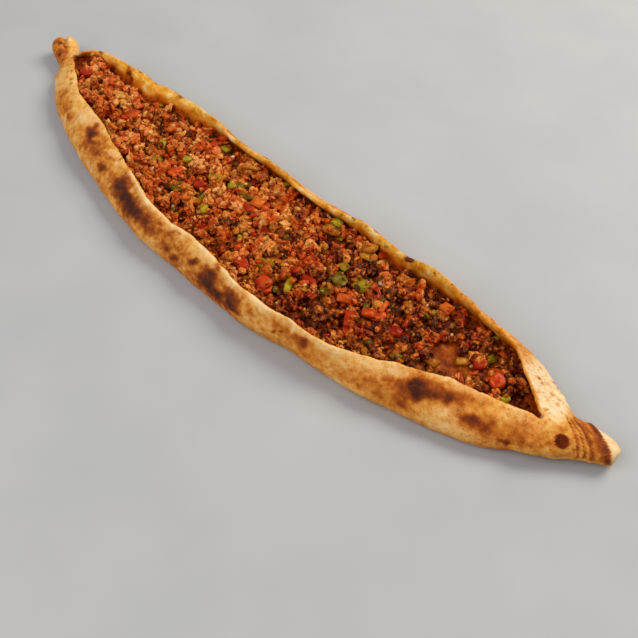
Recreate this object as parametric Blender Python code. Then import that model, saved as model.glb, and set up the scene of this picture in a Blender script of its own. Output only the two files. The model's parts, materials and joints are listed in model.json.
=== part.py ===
"""A long boat-shaped flatbread with a minced meat filling, baked open.

The bread is one sheet of dough folded up round its filling. Both ends are pinched shut: the left
one into a round knob, the right one into a flat fan. X runs along the bread from the knob to the
fan, Y across it, away from the side whose wall folds in over the filling, and Z up. The origin is
under the middle of the bread, on the surface that it rests on.

Lengths are in millimetres up to the point where a mesh is made.
"""
import math
import random

import bmesh
import bpy
import numpy as np
from mathutils import Matrix, Vector, noise
from mathutils.bvhtree import BVHTree

MM = 0.001
SEED = 31

# The bread's outline, in millimetres along the bread and across it
LEFT_END = -240.0
RIGHT_END = 241.0
MIDDLE_LINE = (
    (-240, 6.5), (-229, 0.5), (-216, -6), (-207, -5), (-200, -7.4), (-180, -14), (-160, -19.5),
    (-140, -22.5), (-100, -24), (-60, -25.7), (-40, -27.3), (40, -27.3), (60, -27.2), (80, -26),
    (100, -23), (120, -22), (140, -18.8), (160, -17.1), (180, -13.1), (200, -12.2), (210, -9.4),
    (216, -7.6), (224, -4), (230, -2), (236, -1), (241, -0.5),
)
HALF_WIDTH = (
    (-240, 2.6), (-239, 5.2), (-236.5, 8.0), (-232.5, 9.4), (-228, 9.5), (-222, 7.6), (-217, 6.8),
    (-213, 10), (-207, 18), (-200, 21.5), (-180, 27), (-160, 30.5), (-140, 34), (-120, 39.3),
    (-100, 43), (-80, 47), (-60, 49.8), (-40, 50.7), (40, 51), (60, 49), (80, 45.5), (100, 46.5),
    (120, 44.5), (140, 42.2), (160, 38.5), (180, 34.7), (200, 24.2), (210, 17.4),
    (218, 12.3), (225, 10.6), (231, 9.2), (236, 7.4), (239.5, 5.8), (241, 4.2),
)

# The thin lips round the opening: along, across, height. The near lip is its inner top edge.
NEAR_LIP = (
    (-216, -7.6, 13.5), (-207, -7.8, 15.5), (-200, -11, 18), (-180, -21, 20.5), (-160, -31, 21.5),
    (-120, -41.5, 22), (-100, -46.5, 22), (-80, -53.5, 22.5), (-60, -60, 22.5), (-40, -63.5, 22.5),
    (0, -64.5, 22), (40, -67.5, 22), (60, -68.5, 22), (80, -66, 22), (100, -61.5, 22),
    (120, -53, 22), (140, -43, 21.5), (160, -30, 21), (180, -23.6, 20), (195, -18.4, 18),
    (202, -15.2, 17), (207, -11.5, 16),
)
FAR_LIP = (
    (-216, -6, 13.5), (-210, -3, 16), (-205, 6, 19), (-200, 11.5, 20), (-190, 15, 20.5),
    (-160, 17.5, 20.5), (-140, 20, 20.5), (-120, 22, 21), (-100, 21.5, 21), (-80, 19.5, 20.5),
    (-40, 17, 20), (20, 16, 20), (40, 18, 20.5), (60, 21.5, 21), (100, 21.5, 21.5),
    (140, 18.5, 21), (160, 14, 20.5), (168, 10, 20), (177, 1.5, 19), (185, -3.5, 18.5),
    (193, -7.5, 17.5), (201, -12, 16.5), (208, -6, 15.5),
)
SEAM_SHIFT = ((-240, 0.5), (-216, -0.3), (-205, 2), (200, -4), (207, -1), (217, 5), (241, 3))

# The pinched ends: height of the underside and of the top over the resting surface
UNDERSIDE = (
    (-240, 6), (-237, 3.8), (-231, 2.6), (-220, 1.8), (-208, 0), (206, 0), (218, 0.8),
    (230, 1.6), (241, 2.4),
)
END_TOP = (
    (-240, 10.5), (-238.5, 13), (-235, 15.2), (-229, 15.8), (-222, 13.8), (-216, 13.6),
    (-205, 16.5), (200, 17.5), (212, 15), (220, 12.8), (229, 12.4), (238, 12.6), (241, 11.4),
)

# The seam between the two lips in the pinched ends: along, depth, half width
SEAM_GROOVE = (
    (-240, 0.8, 1.7), (-236, 2.6, 2.0), (-230, 2.8, 1.9), (-216, 2.0, 1.4), (205, 1.2, 1.2),
    (224, 0.6, 1.2), (241, 0.5, 1.2),
)
OPENS = (-214.0, -204.0)
CLOSES = (196.5, 204.5)
LEAN_STARTS = 198.0

# The sheet of dough
FLOOR_THICKNESS = 4.6
WALL_THICKNESS = 4.4
LIP_THICKNESS = 3.2
FOOT_INSET = 6.5
HEEL_INSET = 1.6
HEEL_HEIGHT = 1.7
WALL_FORM = ((0.0, 0.30), (0.06, 0.48), (0.26, 0.66), (0.58, 0.84), (0.93, 0.965))
WAVES = ((67.0, 0.8), (29.0, 0.45), (13.5, 0.25))
RELIEF = 0.75
RELIEF_LENGTH = 15.0
BLISTERS = 44
BLISTER_LINES = (3.0, 4.0, 4.6, 12.0)
SECTION_POINT_GAP = 3.5
PLEATS = ((220.5, 0.45, 1.5, 1.7), (226.0, 0.35, 0.8, 1.3), (232.5, 0.25, 0.5, 1.2))

# How close the sections of the bread stand, along the middle and in the pinched ends
SECTION_STEP = 8.2
END_STEP = 2.6
END_ZONES = (-204.0, 199.0)

# The filling
FIT_GAP = 0.42
FILLING_START = -199.0
FILLING_END = 186.0
FILL_LEVEL = (
    (-200, 10), (-170, 9.2), (-60, 8.8), (60, 8.8), (120, 8.4), (150, 7.8), (172, 7.6), (188, 6.6),
)
HEAP_RISE = 1.5
HEAP_ROUGHNESS = 0.7
BARE_PATCH = (147.0, -18.0, 15.0, 9.0, 2.6)
TOP_POINTS = 7
CRUMBS = 135
CRUMB_SIZES = (4.4, 2.9)
CRUMB_CLEARANCE = 0.6
TRIES_FOR_EACH = 60

# The largest vegetable pieces: along, across, length, width, thickness, turn in degrees
RED_PEPPER = (
    (-189, -9, 11, 8, 3.4, 20), (-130, -17, 10, 7, 3.2, 60), (-100, -3, 9, 8, 3.2, -30),
    (-74, 7, 10, 7.5, 3.0, 10), (-66, -29, 12, 6, 3.0, 75), (-44, -27, 11, 7, 3.2, 10),
    (-7, -10, 11, 7, 3.4, 40), (12, -25, 13, 5, 3.0, -35), (22, -53, 14, 7.5, 3.2, -20),
    (44, -55, 10, 9, 3.4, 45), (57, -33, 11, 6, 3.0, 0), (95, -41, 13, 7, 3.4, -50),
    (99, -23, 14, 7, 3.0, 30), (160, -7, 9, 7, 3.2, 70), (172, -10, 11, 9, 3.6, -40),
)
GREEN_PEPPER = (
    (-53, -37, 10, 8, 3.2, -50), (-45, -14, 11, 8, 3.0, 20), (-28, -7, 13, 5, 3.0, 60),
    (30, -42, 13, 7, 3.2, 20), (52, -44, 14, 4.5, 3.0, -60), (68, -21, 12, 10, 3.8, 15),
)
ONION = ((-153, -7, 12, 10, 3.4, 40), (36, 6, 13, 6, 2.8, 25), (66, 7, 12, 7, 2.8, 35))
PIECE_CURL = 0.9


def curve(points, column=1):
    """A smooth curve through points, without overshoot, as a function of the place along."""
    table = np.array(points, dtype=float)
    places = table[:, 0]
    values = table[:, column]
    steps = np.diff(places)
    slopes = np.diff(values) / steps
    tangents = np.zeros(len(places))
    tangents[0] = slopes[0]
    tangents[-1] = slopes[-1]
    for i in range(1, len(places) - 1):
        before, after = slopes[i - 1], slopes[i]
        if before * after > 0.0:
            tangents[i] = 2.0 * before * after / (before + after)

    def at(place):
        place = min(max(place, places[0]), places[-1])
        i = min(max(int(np.searchsorted(places, place)) - 1, 0), len(steps) - 1)
        t = (place - places[i]) / steps[i]
        rise = values[i] * (1 + 2 * t) * (1 - t) ** 2 + values[i + 1] * t * t * (3 - 2 * t)
        bend = tangents[i] * t * (1 - t) ** 2 - tangents[i + 1] * t * t * (1 - t)
        return rise + steps[i] * bend

    return at


middle_line = curve(MIDDLE_LINE)
half_width = curve(HALF_WIDTH)
near_lip_across = curve(NEAR_LIP, 1)
near_lip_height = curve(NEAR_LIP, 2)
far_lip_across = curve(FAR_LIP, 1)
far_lip_height = curve(FAR_LIP, 2)
seam_shift = curve(SEAM_SHIFT)
underside = curve(UNDERSIDE)
end_top = curve(END_TOP)
groove_depth = curve(SEAM_GROOVE, 1)
groove_half_width = curve(SEAM_GROOVE, 2)
fill_level = curve(FILL_LEVEL)


def smooth_step(low, high, value):
    """Rises gently from 0 at low to 1 at high."""
    t = min(max((value - low) / (high - low), 0.0), 1.0)
    return t * t * (3.0 - 2.0 * t)


def wave(x, phase):
    """The uneven run of a hand-folded rim, in millimetres."""
    return sum(size * math.sin(2.0 * math.pi * x / length + phase * (i + 1.7))
               for i, (length, size) in enumerate(WAVES))


def openness(x):
    """1 where the bread lies open round its filling, 0 where it is pinched shut."""
    return smooth_step(*OPENS, x) * (1.0 - smooth_step(*CLOSES, x))


def outer_wall(side, outline, lip_across, lip_height, base):
    """The outside of one wall, from the lip down to the foot; side is -1 near and 1 far."""
    points = [(outline - side * FOOT_INSET, base), (outline - side * HEEL_INSET, base + HEEL_HEIGHT)]
    for lean, rise in WALL_FORM:
        across = outline + (lip_across - outline) * lean
        points.append((across, base + (lip_height - base) * rise))
    return points[::-1]


def inner_wall(side, outer, lip_across, lip_height, fill, floor):
    """The inside of one wall, from the lip down to the floor, as thick as the dough is there."""
    wall = np.array(outer[:len(WALL_FORM)])
    along = np.gradient(wall, axis=0)
    along /= np.linalg.norm(along, axis=1)[:, None]
    inward = np.stack([along[:, 1], -along[:, 0]], axis=1) * side
    thickness = np.linspace(LIP_THICKNESS, WALL_THICKNESS, len(wall))[:, None]
    inside = (wall + inward * thickness)[::-1]

    def across_at(height):
        return float(np.interp(height, inside[:, 1], inside[:, 0]))

    return [
        (lip_across - side * LIP_THICKNESS * 0.46, lip_height - LIP_THICKNESS * 0.4),
        (across_at(lip_height - LIP_THICKNESS), lip_height - LIP_THICKNESS),
        (across_at(fill), fill),
        (across_at(floor + 1.8) - side * 0.9, floor + 1.8),
        (across_at(floor + 1.8) - side * 4.2, floor),
    ]


def open_section(x):
    """The folded sheet of dough, as a closed loop of (across, height) from the near lip."""
    middle, width, base = middle_line(x), half_width(x), underside(x)
    half_lip = LIP_THICKNESS / 2.0
    near_lip = near_lip_across(x) - half_lip + wave(x, 1.0)
    far_lip = far_lip_across(x) - half_lip + wave(x, 2.3)
    if x > 150.0:
        far_lip += LIP_THICKNESS * smooth_step(150.0, 172.0, x)
    near_top = near_lip_height(x) + wave(x, 4.1)
    far_top = far_lip_height(x) + wave(x, 5.9)
    floor = base + FLOOR_THICKNESS
    fill = fill_level(x)
    near = outer_wall(-1, middle - width, near_lip, near_top, base)
    far = outer_wall(1, middle + width, far_lip, far_top, base)
    near_inside = inner_wall(-1, near, near_lip, near_top, fill, floor)
    far_inside = inner_wall(1, far, far_lip, far_top, fill, floor)
    left, right = near_inside[-1][0], far_inside[-1][0]
    floor_points = [(left + (right - left) * share, floor) for share in (0.75, 0.5, 0.25)]
    section = [(near_lip, near_top)] + near + [(middle, base)] + far[::-1] + [(far_lip, far_top)]
    return np.array(section + far_inside + floor_points + near_inside[::-1])


def closed_section(x, outside_count, inside_count):
    """A pinched end: a round section with the seam of the two lips as a groove on top."""
    middle, width = middle_line(x), half_width(x)
    base, top = underside(x), end_top(x)
    centre = (base + top) / 2.0
    rise = (top - base) / 2.0
    seam = seam_shift(x) * min(1.0, width / 12.0)
    groove = min(groove_half_width(x), 0.3 * width)
    first = math.asin(-(seam - groove) / width)
    last = 2.0 * math.pi + math.asin(-(seam + groove) / width)
    loop = []
    for angle in np.linspace(first, last, outside_count):
        height = centre + rise * 1.06 * math.cos(angle)
        loop.append((middle - width * math.sin(angle), max(height, base)))
    near_edge, far_edge = loop[0], loop[-1]
    for i in range(1, inside_count + 1):
        share = i / (inside_count + 1)
        across = far_edge[0] + (near_edge[0] - far_edge[0]) * share
        height = far_edge[1] + (near_edge[1] - far_edge[1]) * share
        loop.append((across, height - groove_depth(x) * math.sin(math.pi * share)))
    return np.array(loop)


def crust_stations():
    """Where the sections of the bread stand, closer together in the pinched ends."""
    left_zone, right_zone = END_ZONES
    left = np.arange(LEFT_END, left_zone, END_STEP)
    middle = np.linspace(left_zone, right_zone, round((right_zone - left_zone) / SECTION_STEP) + 1)
    right = np.linspace(right_zone, RIGHT_END, round((RIGHT_END - right_zone) / END_STEP) + 1)[1:]
    return np.concatenate([left, middle, right])


OUTSIDE_COUNT = 2 * (len(WALL_FORM) + 3) + 1
INSIDE_COUNT = 13
FILL_POINT = 2


def blister_spots():
    """Raised spots baked into the walls: place along, point of the section, radius, height."""
    chance = random.Random(SEED)
    return [(chance.uniform(-190.0, 215.0), chance.choice(BLISTER_LINES),
             chance.uniform(4.0, 9.0), chance.uniform(0.3, 0.9)) for _ in range(BLISTERS)]


def pleat_rise(x, across):
    """The ridges where the fan is pinched together, in millimetres."""
    rise = 0.0
    for place, slant, height, breadth in PLEATS:
        away = (x - place - slant * (across - middle_line(x))) / breadth
        rise += height * math.exp(-away * away)
    return rise


def with_relief(x, section, spots):
    """Bread is never smooth: the outside of a section, pushed out and in along its normals."""
    relieved = section.copy()
    tangent = np.roll(section, -1, axis=0) - np.roll(section, 1, axis=0)
    tangent /= np.linalg.norm(tangent, axis=1)[:, None]
    outward = np.stack([tangent[:, 1], -tangent[:, 0]], axis=1)
    base = underside(x)
    for i in range(OUTSIDE_COUNT):
        across, height = section[i]
        lifted = smooth_step(0.5, 3.0, height - base)
        spot = Vector((x, across, height)) / RELIEF_LENGTH
        push = RELIEF * (noise.noise(spot) + 0.5 * noise.noise(spot * 2.3))
        for place, line, radius, rise in spots:
            away = math.hypot(x - place, (i - line) * SECTION_POINT_GAP)
            push += rise * math.exp(-(away / radius) ** 2)
        push += pleat_rise(x, across)
        edge = 0.35 if i in (0, OUTSIDE_COUNT - 1) else 1.0
        relieved[i] += outward[i] * push * lifted * edge
    return relieved


def crust_rings():
    """Every section of the bread as points (x, y, z), turned square to its line in the ends."""
    rings = []
    spots = blister_spots()
    for x in crust_stations():
        opened = openness(x)
        section = closed_section(x, OUTSIDE_COUNT, INSIDE_COUNT)
        if opened > 0.0:
            section = section * (1.0 - opened) + open_section(x) * opened
        section = with_relief(x, section, spots)
        slope = (middle_line(x + 2.0) - middle_line(x - 2.0)) / 4.0
        lean = slope * smooth_step(LEAN_STARTS, LEAN_STARTS + 16.0, abs(x))
        sideways = section[:, 0] - middle_line(x)
        length = math.hypot(1.0, lean)
        ring = np.stack([x - lean * sideways / length,
                         middle_line(x) + sideways / length, section[:, 1]], axis=1)
        rings.append(ring)
    return np.array(rings)


def link(collection, name, bm, material):
    """Makes an object of a bmesh whose lengths are in millimetres."""
    bmesh.ops.scale(bm, vec=(MM, MM, MM), verts=bm.verts)
    mesh = bpy.data.meshes.new(name)
    bm.to_mesh(mesh)
    bm.free()
    mesh.shade_smooth()
    if material:
        mesh.materials.append(material)
    obj = bpy.data.objects.new(name, mesh)
    collection.objects.link(obj)
    return obj


def loft(rings):
    """A closed skin over rings of points that all have the same count."""
    bm = bmesh.new()
    loops = [[bm.verts.new(point) for point in ring] for ring in rings]
    for loop, following in zip(loops, loops[1:]):
        for i, vert in enumerate(loop):
            after = (i + 1) % len(loop)
            bm.faces.new((vert, loop[after], following[after], following[i]))
    bm.faces.new(loops[0])
    bm.faces.new(loops[-1])
    bmesh.ops.recalc_face_normals(bm, faces=bm.faces)
    return bm


def filling_rings(rings):
    """The bare core of the filling: it lies in the bread with a fine gap, and its top is heaped."""
    core = []
    for ring in rings:
        x = float(ring[0][0])
        if not FILLING_START <= x <= FILLING_END:
            continue
        inside = ring[OUTSIDE_COUNT:]
        bed = inside[FILL_POINT:INSIDE_COUNT - FILL_POINT, 1:]
        tangent = np.gradient(bed, axis=0)
        tangent /= np.linalg.norm(tangent, axis=1)[:, None]
        bed = bed + np.stack([tangent[:, 1], -tangent[:, 0]], axis=1) * FIT_GAP
        far, near = bed[0], bed[-1]
        top = []
        for i in range(1, TOP_POINTS + 1):
            share = i / (TOP_POINTS + 1)
            across = near[0] + (far[0] - near[0]) * share
            height = near[1] + (far[1] - near[1]) * share
            top.append((across, height + heap_rise(x, across, share)))
        points = np.concatenate([bed, np.array(top)])
        core.append(np.column_stack([np.full(len(points), x), points]))
    return np.array(core)


def heap_rise(x, across, share):
    """How far the top of the filling stands over its edges."""
    rounded = math.sin(math.pi * share)
    bumps = noise.noise(Vector((x / 11.0, across / 11.0, 3.0)))
    place, place_across, half_length, half_depth, dip = BARE_PATCH
    away = math.hypot((x - place) / half_length, (across - place_across) / half_depth)
    return rounded * HEAP_RISE + rounded * HEAP_ROUGHNESS * bumps - dip * math.exp(-away ** 2)


def vegetable_piece(collection, name, layout, material, core, order):
    """One cut piece: a small slab, curled and rounded, resting on the core of the filling."""
    along, across, length, width, thickness, turn = layout
    bm = bmesh.new()
    bmesh.ops.create_cube(bm, size=1.0)
    bmesh.ops.subdivide_edges(bm, edges=bm.edges, cuts=2, use_grid_fill=True)
    place = Matrix.Translation((along, across, 0.0)) @ Matrix.Rotation(math.radians(turn), 4, "Z")
    for vert in bm.verts:
        u, v, w = vert.co * 2.0
        roundness = 1.0 - 0.16 * (u * u * v * v + 0.5 * u * u + 0.3 * v * v)
        uneven = 1.0 + 0.14 * noise.noise(Vector((u * 0.9, v * 0.9, w * 0.9 + order * 5.0)))
        x = u * length / 2.0 * roundness * uneven
        y = v * width / 2.0 * roundness * uneven + PIECE_CURL * (1.0 - u * u) * (order % 3 - 1)
        spot = place @ Vector((x, y, 0.0))
        under = height_over(core, spot) + FIT_GAP + 0.25
        body = thickness * (1.0 - 0.22 * u * u - 0.22 * v * v)
        edge = 0.35 * (u * u + v * v)
        vert.co = Vector((spot.x, spot.y, under + edge + (w + 1.0) / 2.0 * body))
    return link(collection, name, bm, material)


def height_over(core, spot):
    """The highest point of the bare core just round a spot, in millimetres."""
    highest = -1.0
    for step_x, step_y in ((0, 0), (1.5, 0), (-1.5, 0), (0, 1.5), (0, -1.5)):
        start = Vector((spot.x + step_x, spot.y + step_y, 100.0))
        hit = core.ray_cast(start, Vector((0, 0, -1)))[0]
        if hit:
            highest = max(highest, hit.z)
    return highest


def touches_vegetable(x, y, radius):
    """True where a crumb would touch one of the vegetable pieces."""
    for along, across, length, width, _, turn in RED_PEPPER + GREEN_PEPPER + ONION:
        heading = Vector((math.cos(math.radians(turn)), math.sin(math.radians(turn))))
        offset = Vector((x - along, y - across))
        reach = max(length - width, 0.0) / 2.0
        along_piece = min(max(offset.dot(heading), -reach), reach)
        if (offset - heading * along_piece).length < width * 0.62 + radius + CRUMB_CLEARANCE:
            return True
    return False


def crumb_places(core_rings, core):
    """Places and radii of the crumbs of meat that stand out, the largest first and evenly spread."""
    chance = random.Random(SEED)
    stations = core_rings[:, 0, 0]
    bed_points = core_rings.shape[1] - TOP_POINTS
    places = []
    tries = 0
    while len(places) < CRUMBS and tries < CRUMBS * TRIES_FOR_EACH:
        tries += 1
        share = len(places) / CRUMBS
        radius = CRUMB_SIZES[0] + (CRUMB_SIZES[1] - CRUMB_SIZES[0]) * share
        x = chance.uniform(stations[0] + radius + 2.0, stations[-1] - radius - 1.0)
        far = np.interp(x, stations, core_rings[:, 0, 1])
        near = np.interp(x, stations, core_rings[:, bed_points - 1, 1])
        overhang = max(near_lip_across(x) + 1.5, near)
        flap = min(far_lip_across(x) - LIP_THICKNESS * 1.5, far)
        low = overhang + radius * 1.25 + CRUMB_CLEARANCE
        high = flap - radius * 1.25 - CRUMB_CLEARANCE
        if low >= high:
            continue
        y = chance.uniform(low, high)
        place, place_across, half_length, half_depth, _ = BARE_PATCH
        if math.hypot((x - place) / half_length, (y - place_across) / half_depth) < 1.0:
            continue
        if touches_vegetable(x, y, radius * 1.2):
            continue
        if any(math.hypot(x - other[0], y - other[1]) < (radius + other[3]) * 0.9
               for other in places):
            continue
        z = height_over(core, Vector((x, y, 0.0)))
        places.append((x, y, z - 0.1 * radius, radius))
    return places


def crumb(collection, name, place, order):
    """One crumb: a coarse lump with few sides."""
    x, y, z, radius = place
    bm = bmesh.new()
    bmesh.ops.create_icosphere(bm, subdivisions=1, radius=radius)
    chance = random.Random(SEED + order)
    stretch = Vector((chance.uniform(0.85, 1.2), chance.uniform(0.75, 1.05), chance.uniform(0.6, 0.8)))
    for vert in bm.verts:
        vert.co = vert.co * stretch * chance.uniform(0.88, 1.08)
    bmesh.ops.rotate(bm, matrix=Matrix.Rotation(chance.uniform(0.0, math.pi), 3, "Z"), verts=bm.verts)
    bmesh.ops.translate(bm, vec=(x, y, z), verts=bm.verts)
    return link(collection, name, bm, None)


def fuse(core, pieces):
    """Joins every piece of a collection onto the core and applies it."""
    union = core.modifiers.new("fuse", "BOOLEAN")
    union.operation = "UNION"
    union.operand_type = "COLLECTION"
    union.collection = pieces
    union.solver = "MANIFOLD"
    bpy.context.view_layer.update()
    evaluated = core.evaluated_get(bpy.context.evaluated_depsgraph_get())
    joined = bpy.data.meshes.new_from_object(evaluated)
    core.modifiers.remove(union)
    spent = core.data
    core.data = joined
    bpy.data.meshes.remove(spent)
    for piece in list(pieces.objects):
        bpy.data.objects.remove(piece)
    bpy.data.collections.remove(pieces)


def material(name, colour, roughness):
    """A plain finish for one kind of piece."""
    finish = bpy.data.materials.new(name)
    finish.use_nodes = True
    shader = finish.node_tree.nodes["Principled BSDF"]
    shader.inputs["Base Color"].default_value = (*colour, 1.0)
    shader.inputs["Roughness"].default_value = roughness
    finish.diffuse_color = (*colour, 1.0)
    return finish


def build():
    """Clears the scene and makes the bread, its filling and the largest pieces on it."""
    for obj in list(bpy.data.objects):
        bpy.data.objects.remove(obj)
    bread = bpy.data.collections.new("filled_flatbread")
    pieces = bpy.data.collections.new("crumbs")
    for collection in (bread, pieces):
        bpy.context.scene.collection.children.link(collection)

    rings = crust_rings()
    core_rings = filling_rings(rings)
    core_bm = loft(core_rings)
    bmesh.ops.triangulate(core_bm, faces=core_bm.faces)
    core = BVHTree.FromBMesh(core_bm)

    link(bread, "crust", loft(rings), material("baked_dough", (0.62, 0.36, 0.12), 0.7))
    filling = link(bread, "filling", core_bm, material("minced_meat", (0.25, 0.08, 0.03), 0.5))
    for order, place in enumerate(crumb_places(core_rings, core)):
        crumb(pieces, f"crumb_{order:03d}", place, order)
    fuse(filling, pieces)

    kinds = (
        ("red_pepper", RED_PEPPER, material("red_pepper", (0.55, 0.05, 0.02), 0.35)),
        ("green_pepper", GREEN_PEPPER, material("green_pepper", (0.22, 0.24, 0.03), 0.4)),
        ("onion", ONION, material("onion", (0.62, 0.40, 0.10), 0.35)),
    )
    for kind, layouts, finish in kinds:
        for order, layout in enumerate(layouts):
            vegetable_piece(bread, f"{kind}_{order + 1:02d}", layout, finish, core, order)

    low = rings.reshape(-1, 3).min(axis=0)
    high = rings.reshape(-1, 3).max(axis=0)
    middle = Vector(((low[0] + high[0]) / 2.0, (low[1] + high[1]) / 2.0, low[2])) * MM
    for obj in bread.objects:
        obj.data.transform(Matrix.Translation(-middle))
    print(len(bread.objects), "pieces, moved by", [round(value / MM, 2) for value in middle], "mm")


build()
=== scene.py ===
# %% [markdown]
# # A long flatbread, baked open over minced meat
#
# The real thing is a strip of bread dough that is folded up round a filling of minced meat,
# peppers and onion, and pinched shut at both ends. Its solids are modelled to size already.
# This script gives them the looks of food: the crust's relief and scorching, and every crumb and
# cube of the filling.

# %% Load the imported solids
import json
import math
import random

import bmesh
import bpy
import numpy as np
from mathutils import Matrix, Vector, noise
from mathutils.bvhtree import BVHTree

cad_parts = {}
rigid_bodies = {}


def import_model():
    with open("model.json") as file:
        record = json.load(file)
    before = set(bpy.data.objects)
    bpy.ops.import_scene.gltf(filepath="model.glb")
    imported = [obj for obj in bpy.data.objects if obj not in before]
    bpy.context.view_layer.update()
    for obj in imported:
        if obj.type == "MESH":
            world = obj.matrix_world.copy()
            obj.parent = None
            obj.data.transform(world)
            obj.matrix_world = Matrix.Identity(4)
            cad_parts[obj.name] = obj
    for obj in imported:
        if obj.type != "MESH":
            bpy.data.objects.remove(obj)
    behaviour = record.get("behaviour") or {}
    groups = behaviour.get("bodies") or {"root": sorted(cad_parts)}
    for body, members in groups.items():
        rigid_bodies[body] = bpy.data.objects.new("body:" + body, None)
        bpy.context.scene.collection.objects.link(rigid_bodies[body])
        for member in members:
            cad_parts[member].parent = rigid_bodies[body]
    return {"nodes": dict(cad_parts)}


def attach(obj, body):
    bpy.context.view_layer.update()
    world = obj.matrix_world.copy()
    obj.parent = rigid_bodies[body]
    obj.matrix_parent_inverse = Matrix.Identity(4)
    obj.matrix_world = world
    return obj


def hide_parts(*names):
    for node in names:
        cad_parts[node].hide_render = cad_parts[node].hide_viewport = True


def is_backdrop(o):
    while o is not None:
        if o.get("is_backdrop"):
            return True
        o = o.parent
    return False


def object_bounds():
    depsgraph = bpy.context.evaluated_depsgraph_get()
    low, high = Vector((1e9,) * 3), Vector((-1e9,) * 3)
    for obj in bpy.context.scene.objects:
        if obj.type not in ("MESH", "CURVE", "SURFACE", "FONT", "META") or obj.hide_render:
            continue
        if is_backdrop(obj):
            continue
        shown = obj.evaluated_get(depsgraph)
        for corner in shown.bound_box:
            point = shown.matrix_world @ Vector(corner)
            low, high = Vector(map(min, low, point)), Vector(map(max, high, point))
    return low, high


for leftover in list(bpy.data.objects):
    bpy.data.objects.remove(leftover)
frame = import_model()
solids_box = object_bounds()
MM = 0.001
SEED = 31
print(len(frame["nodes"]), "solids,",
      [round((high - low) / MM, 1) for low, high in zip(*solids_box)], "mm")

# %% [markdown]
# ## The view
#
# A camera can be placed by hand, or by the three directions that it has in the world. The
# directions were solved from the picture's perspective and the bread's length, so they are
# written as they came out, and the matrix is built from them.

# %% Place the camera
PICTURE_WIDTH = 638
FOCAL_LENGTH_IN_PIXELS = 870
CAMERA_PLACE = Vector((0.28543, -0.25513, 0.36519))
CAMERA_RIGHT = Vector((0.704774, 0.706858, 0.060377))
CAMERA_UP = Vector((-0.560392, 0.502505, 0.658368))
CAMERA_BACK = Vector((0.435033, -0.497836, 0.750271))

camera_data = bpy.data.cameras.new("camera")
camera_data.sensor_width = 36.0
camera_data.lens = FOCAL_LENGTH_IN_PIXELS / PICTURE_WIDTH * camera_data.sensor_width
camera = bpy.data.objects.new("camera", camera_data)
bpy.context.scene.collection.objects.link(camera)
camera.matrix_world = (Matrix.Translation(CAMERA_PLACE)
                       @ Matrix((CAMERA_RIGHT, CAMERA_UP, CAMERA_BACK)).transposed().to_4x4())
bpy.context.scene.camera = camera
bpy.context.scene.view_settings.view_transform = "Standard"
print("lens", round(camera_data.lens, 1), "mm")

# %% [markdown]
# ## Tools for meshes
#
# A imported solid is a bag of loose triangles. Joined, wrapped in a fine even skin by a voxel
# remesh and smoothed, its copy can take relief that the solid is too coarse for. Sculpting by
# hand would do the same, but noise and named places give the same result on every run.

# %% Copy a solid and give it an even skin
def welded_copy(node, name):
    """A copy of a solid, with its loose triangles joined into one closed skin."""
    bm = bmesh.new()
    bm.from_mesh(frame["nodes"][node].data)
    bmesh.ops.remove_doubles(bm, verts=bm.verts, dist=0.001 * MM)
    mesh = bpy.data.meshes.new(name)
    bm.to_mesh(mesh)
    bm.free()
    piece = bpy.data.objects.new(name, mesh)
    bpy.context.scene.collection.objects.link(piece)
    return piece


def resurface(piece, cell, smoothing):
    """Wraps a piece in squares of about `cell` millimetres and smooths out its facets."""
    remesh = piece.modifiers.new("even skin", "REMESH")
    remesh.mode = "VOXEL"
    remesh.voxel_size = cell * MM
    smooth = piece.modifiers.new("smooth", "SMOOTH")
    smooth.factor = 0.5
    smooth.iterations = smoothing
    evaluated = piece.evaluated_get(bpy.context.evaluated_depsgraph_get())
    skin = bpy.data.meshes.new_from_object(evaluated)
    spent = piece.data
    piece.modifiers.clear()
    piece.data = skin
    bpy.data.meshes.remove(spent)
    skin.shade_smooth()
    print(piece.name, "has", len(skin.polygons), "faces")


# %% [markdown]
# Places and colours are worked out for all points of a mesh at once, as rows of numbers. A loop
# over single points would read more simply, but it is slow on a skin with this many points.

# %% Read and write the points of a mesh
def read_points(mesh, kind="co"):
    """The places or the normals of all points, in rows of x, y and z."""
    values = np.zeros(len(mesh.vertices) * 3, dtype=np.float32)
    mesh.vertices.foreach_get(kind, values)
    return values.reshape(-1, 3).astype(float)


def write_points(mesh, places):
    """Moves all points of a mesh."""
    mesh.vertices.foreach_set("co", places.astype(np.float32).ravel())
    mesh.update()


# %% [markdown]
# ## The crust
#
# The bread is one sheet of dough. Its outside is dry, floury and scorched in patches by the
# oven floor and roof, while the inside of its walls has soaked up fat and is golden and glossy.
# One mesh carries both, and numbers kept on its points say how much of each there is.

# %% Wrap the crust in a fine skin
CRUST_CELL = 1.2
RIM_FROM = 18.5
RIM_SMOOTHING = 7

crust = welded_copy("crust", "baked_crust")
resurface(crust, cell=CRUST_CELL, smoothing=4)
bm = bmesh.new()
bm.from_mesh(crust.data)
rim = [vertex for vertex in bm.verts if vertex.co.z > RIM_FROM * MM and vertex.co.y > 0.0]
for _ in range(RIM_SMOOTHING):
    bmesh.ops.smooth_vert(bm, verts=rim, factor=0.5, use_axis_x=True, use_axis_y=True,
                          use_axis_z=True)
bm.to_mesh(crust.data)
bm.free()
print(len(rim), "points of the far rim smoothed")

# %% [markdown]
# The far rim ends in an edge that is thinner than the skin's squares, which leaves teeth standing
# on it. Real dough is rounded there. More smoothing would melt the rim away, so it is measured in
# slices, and what stands out past the middle value of the slices round it is pushed back.

# %% Take the teeth off the far rim
RIM_OUTWARD = np.array([0.0, 0.75, 0.66])
RIM_LENGTH = (-186, 166)
RIM_SIDE = 20.0
TEETH_SPAN = 6

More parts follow.
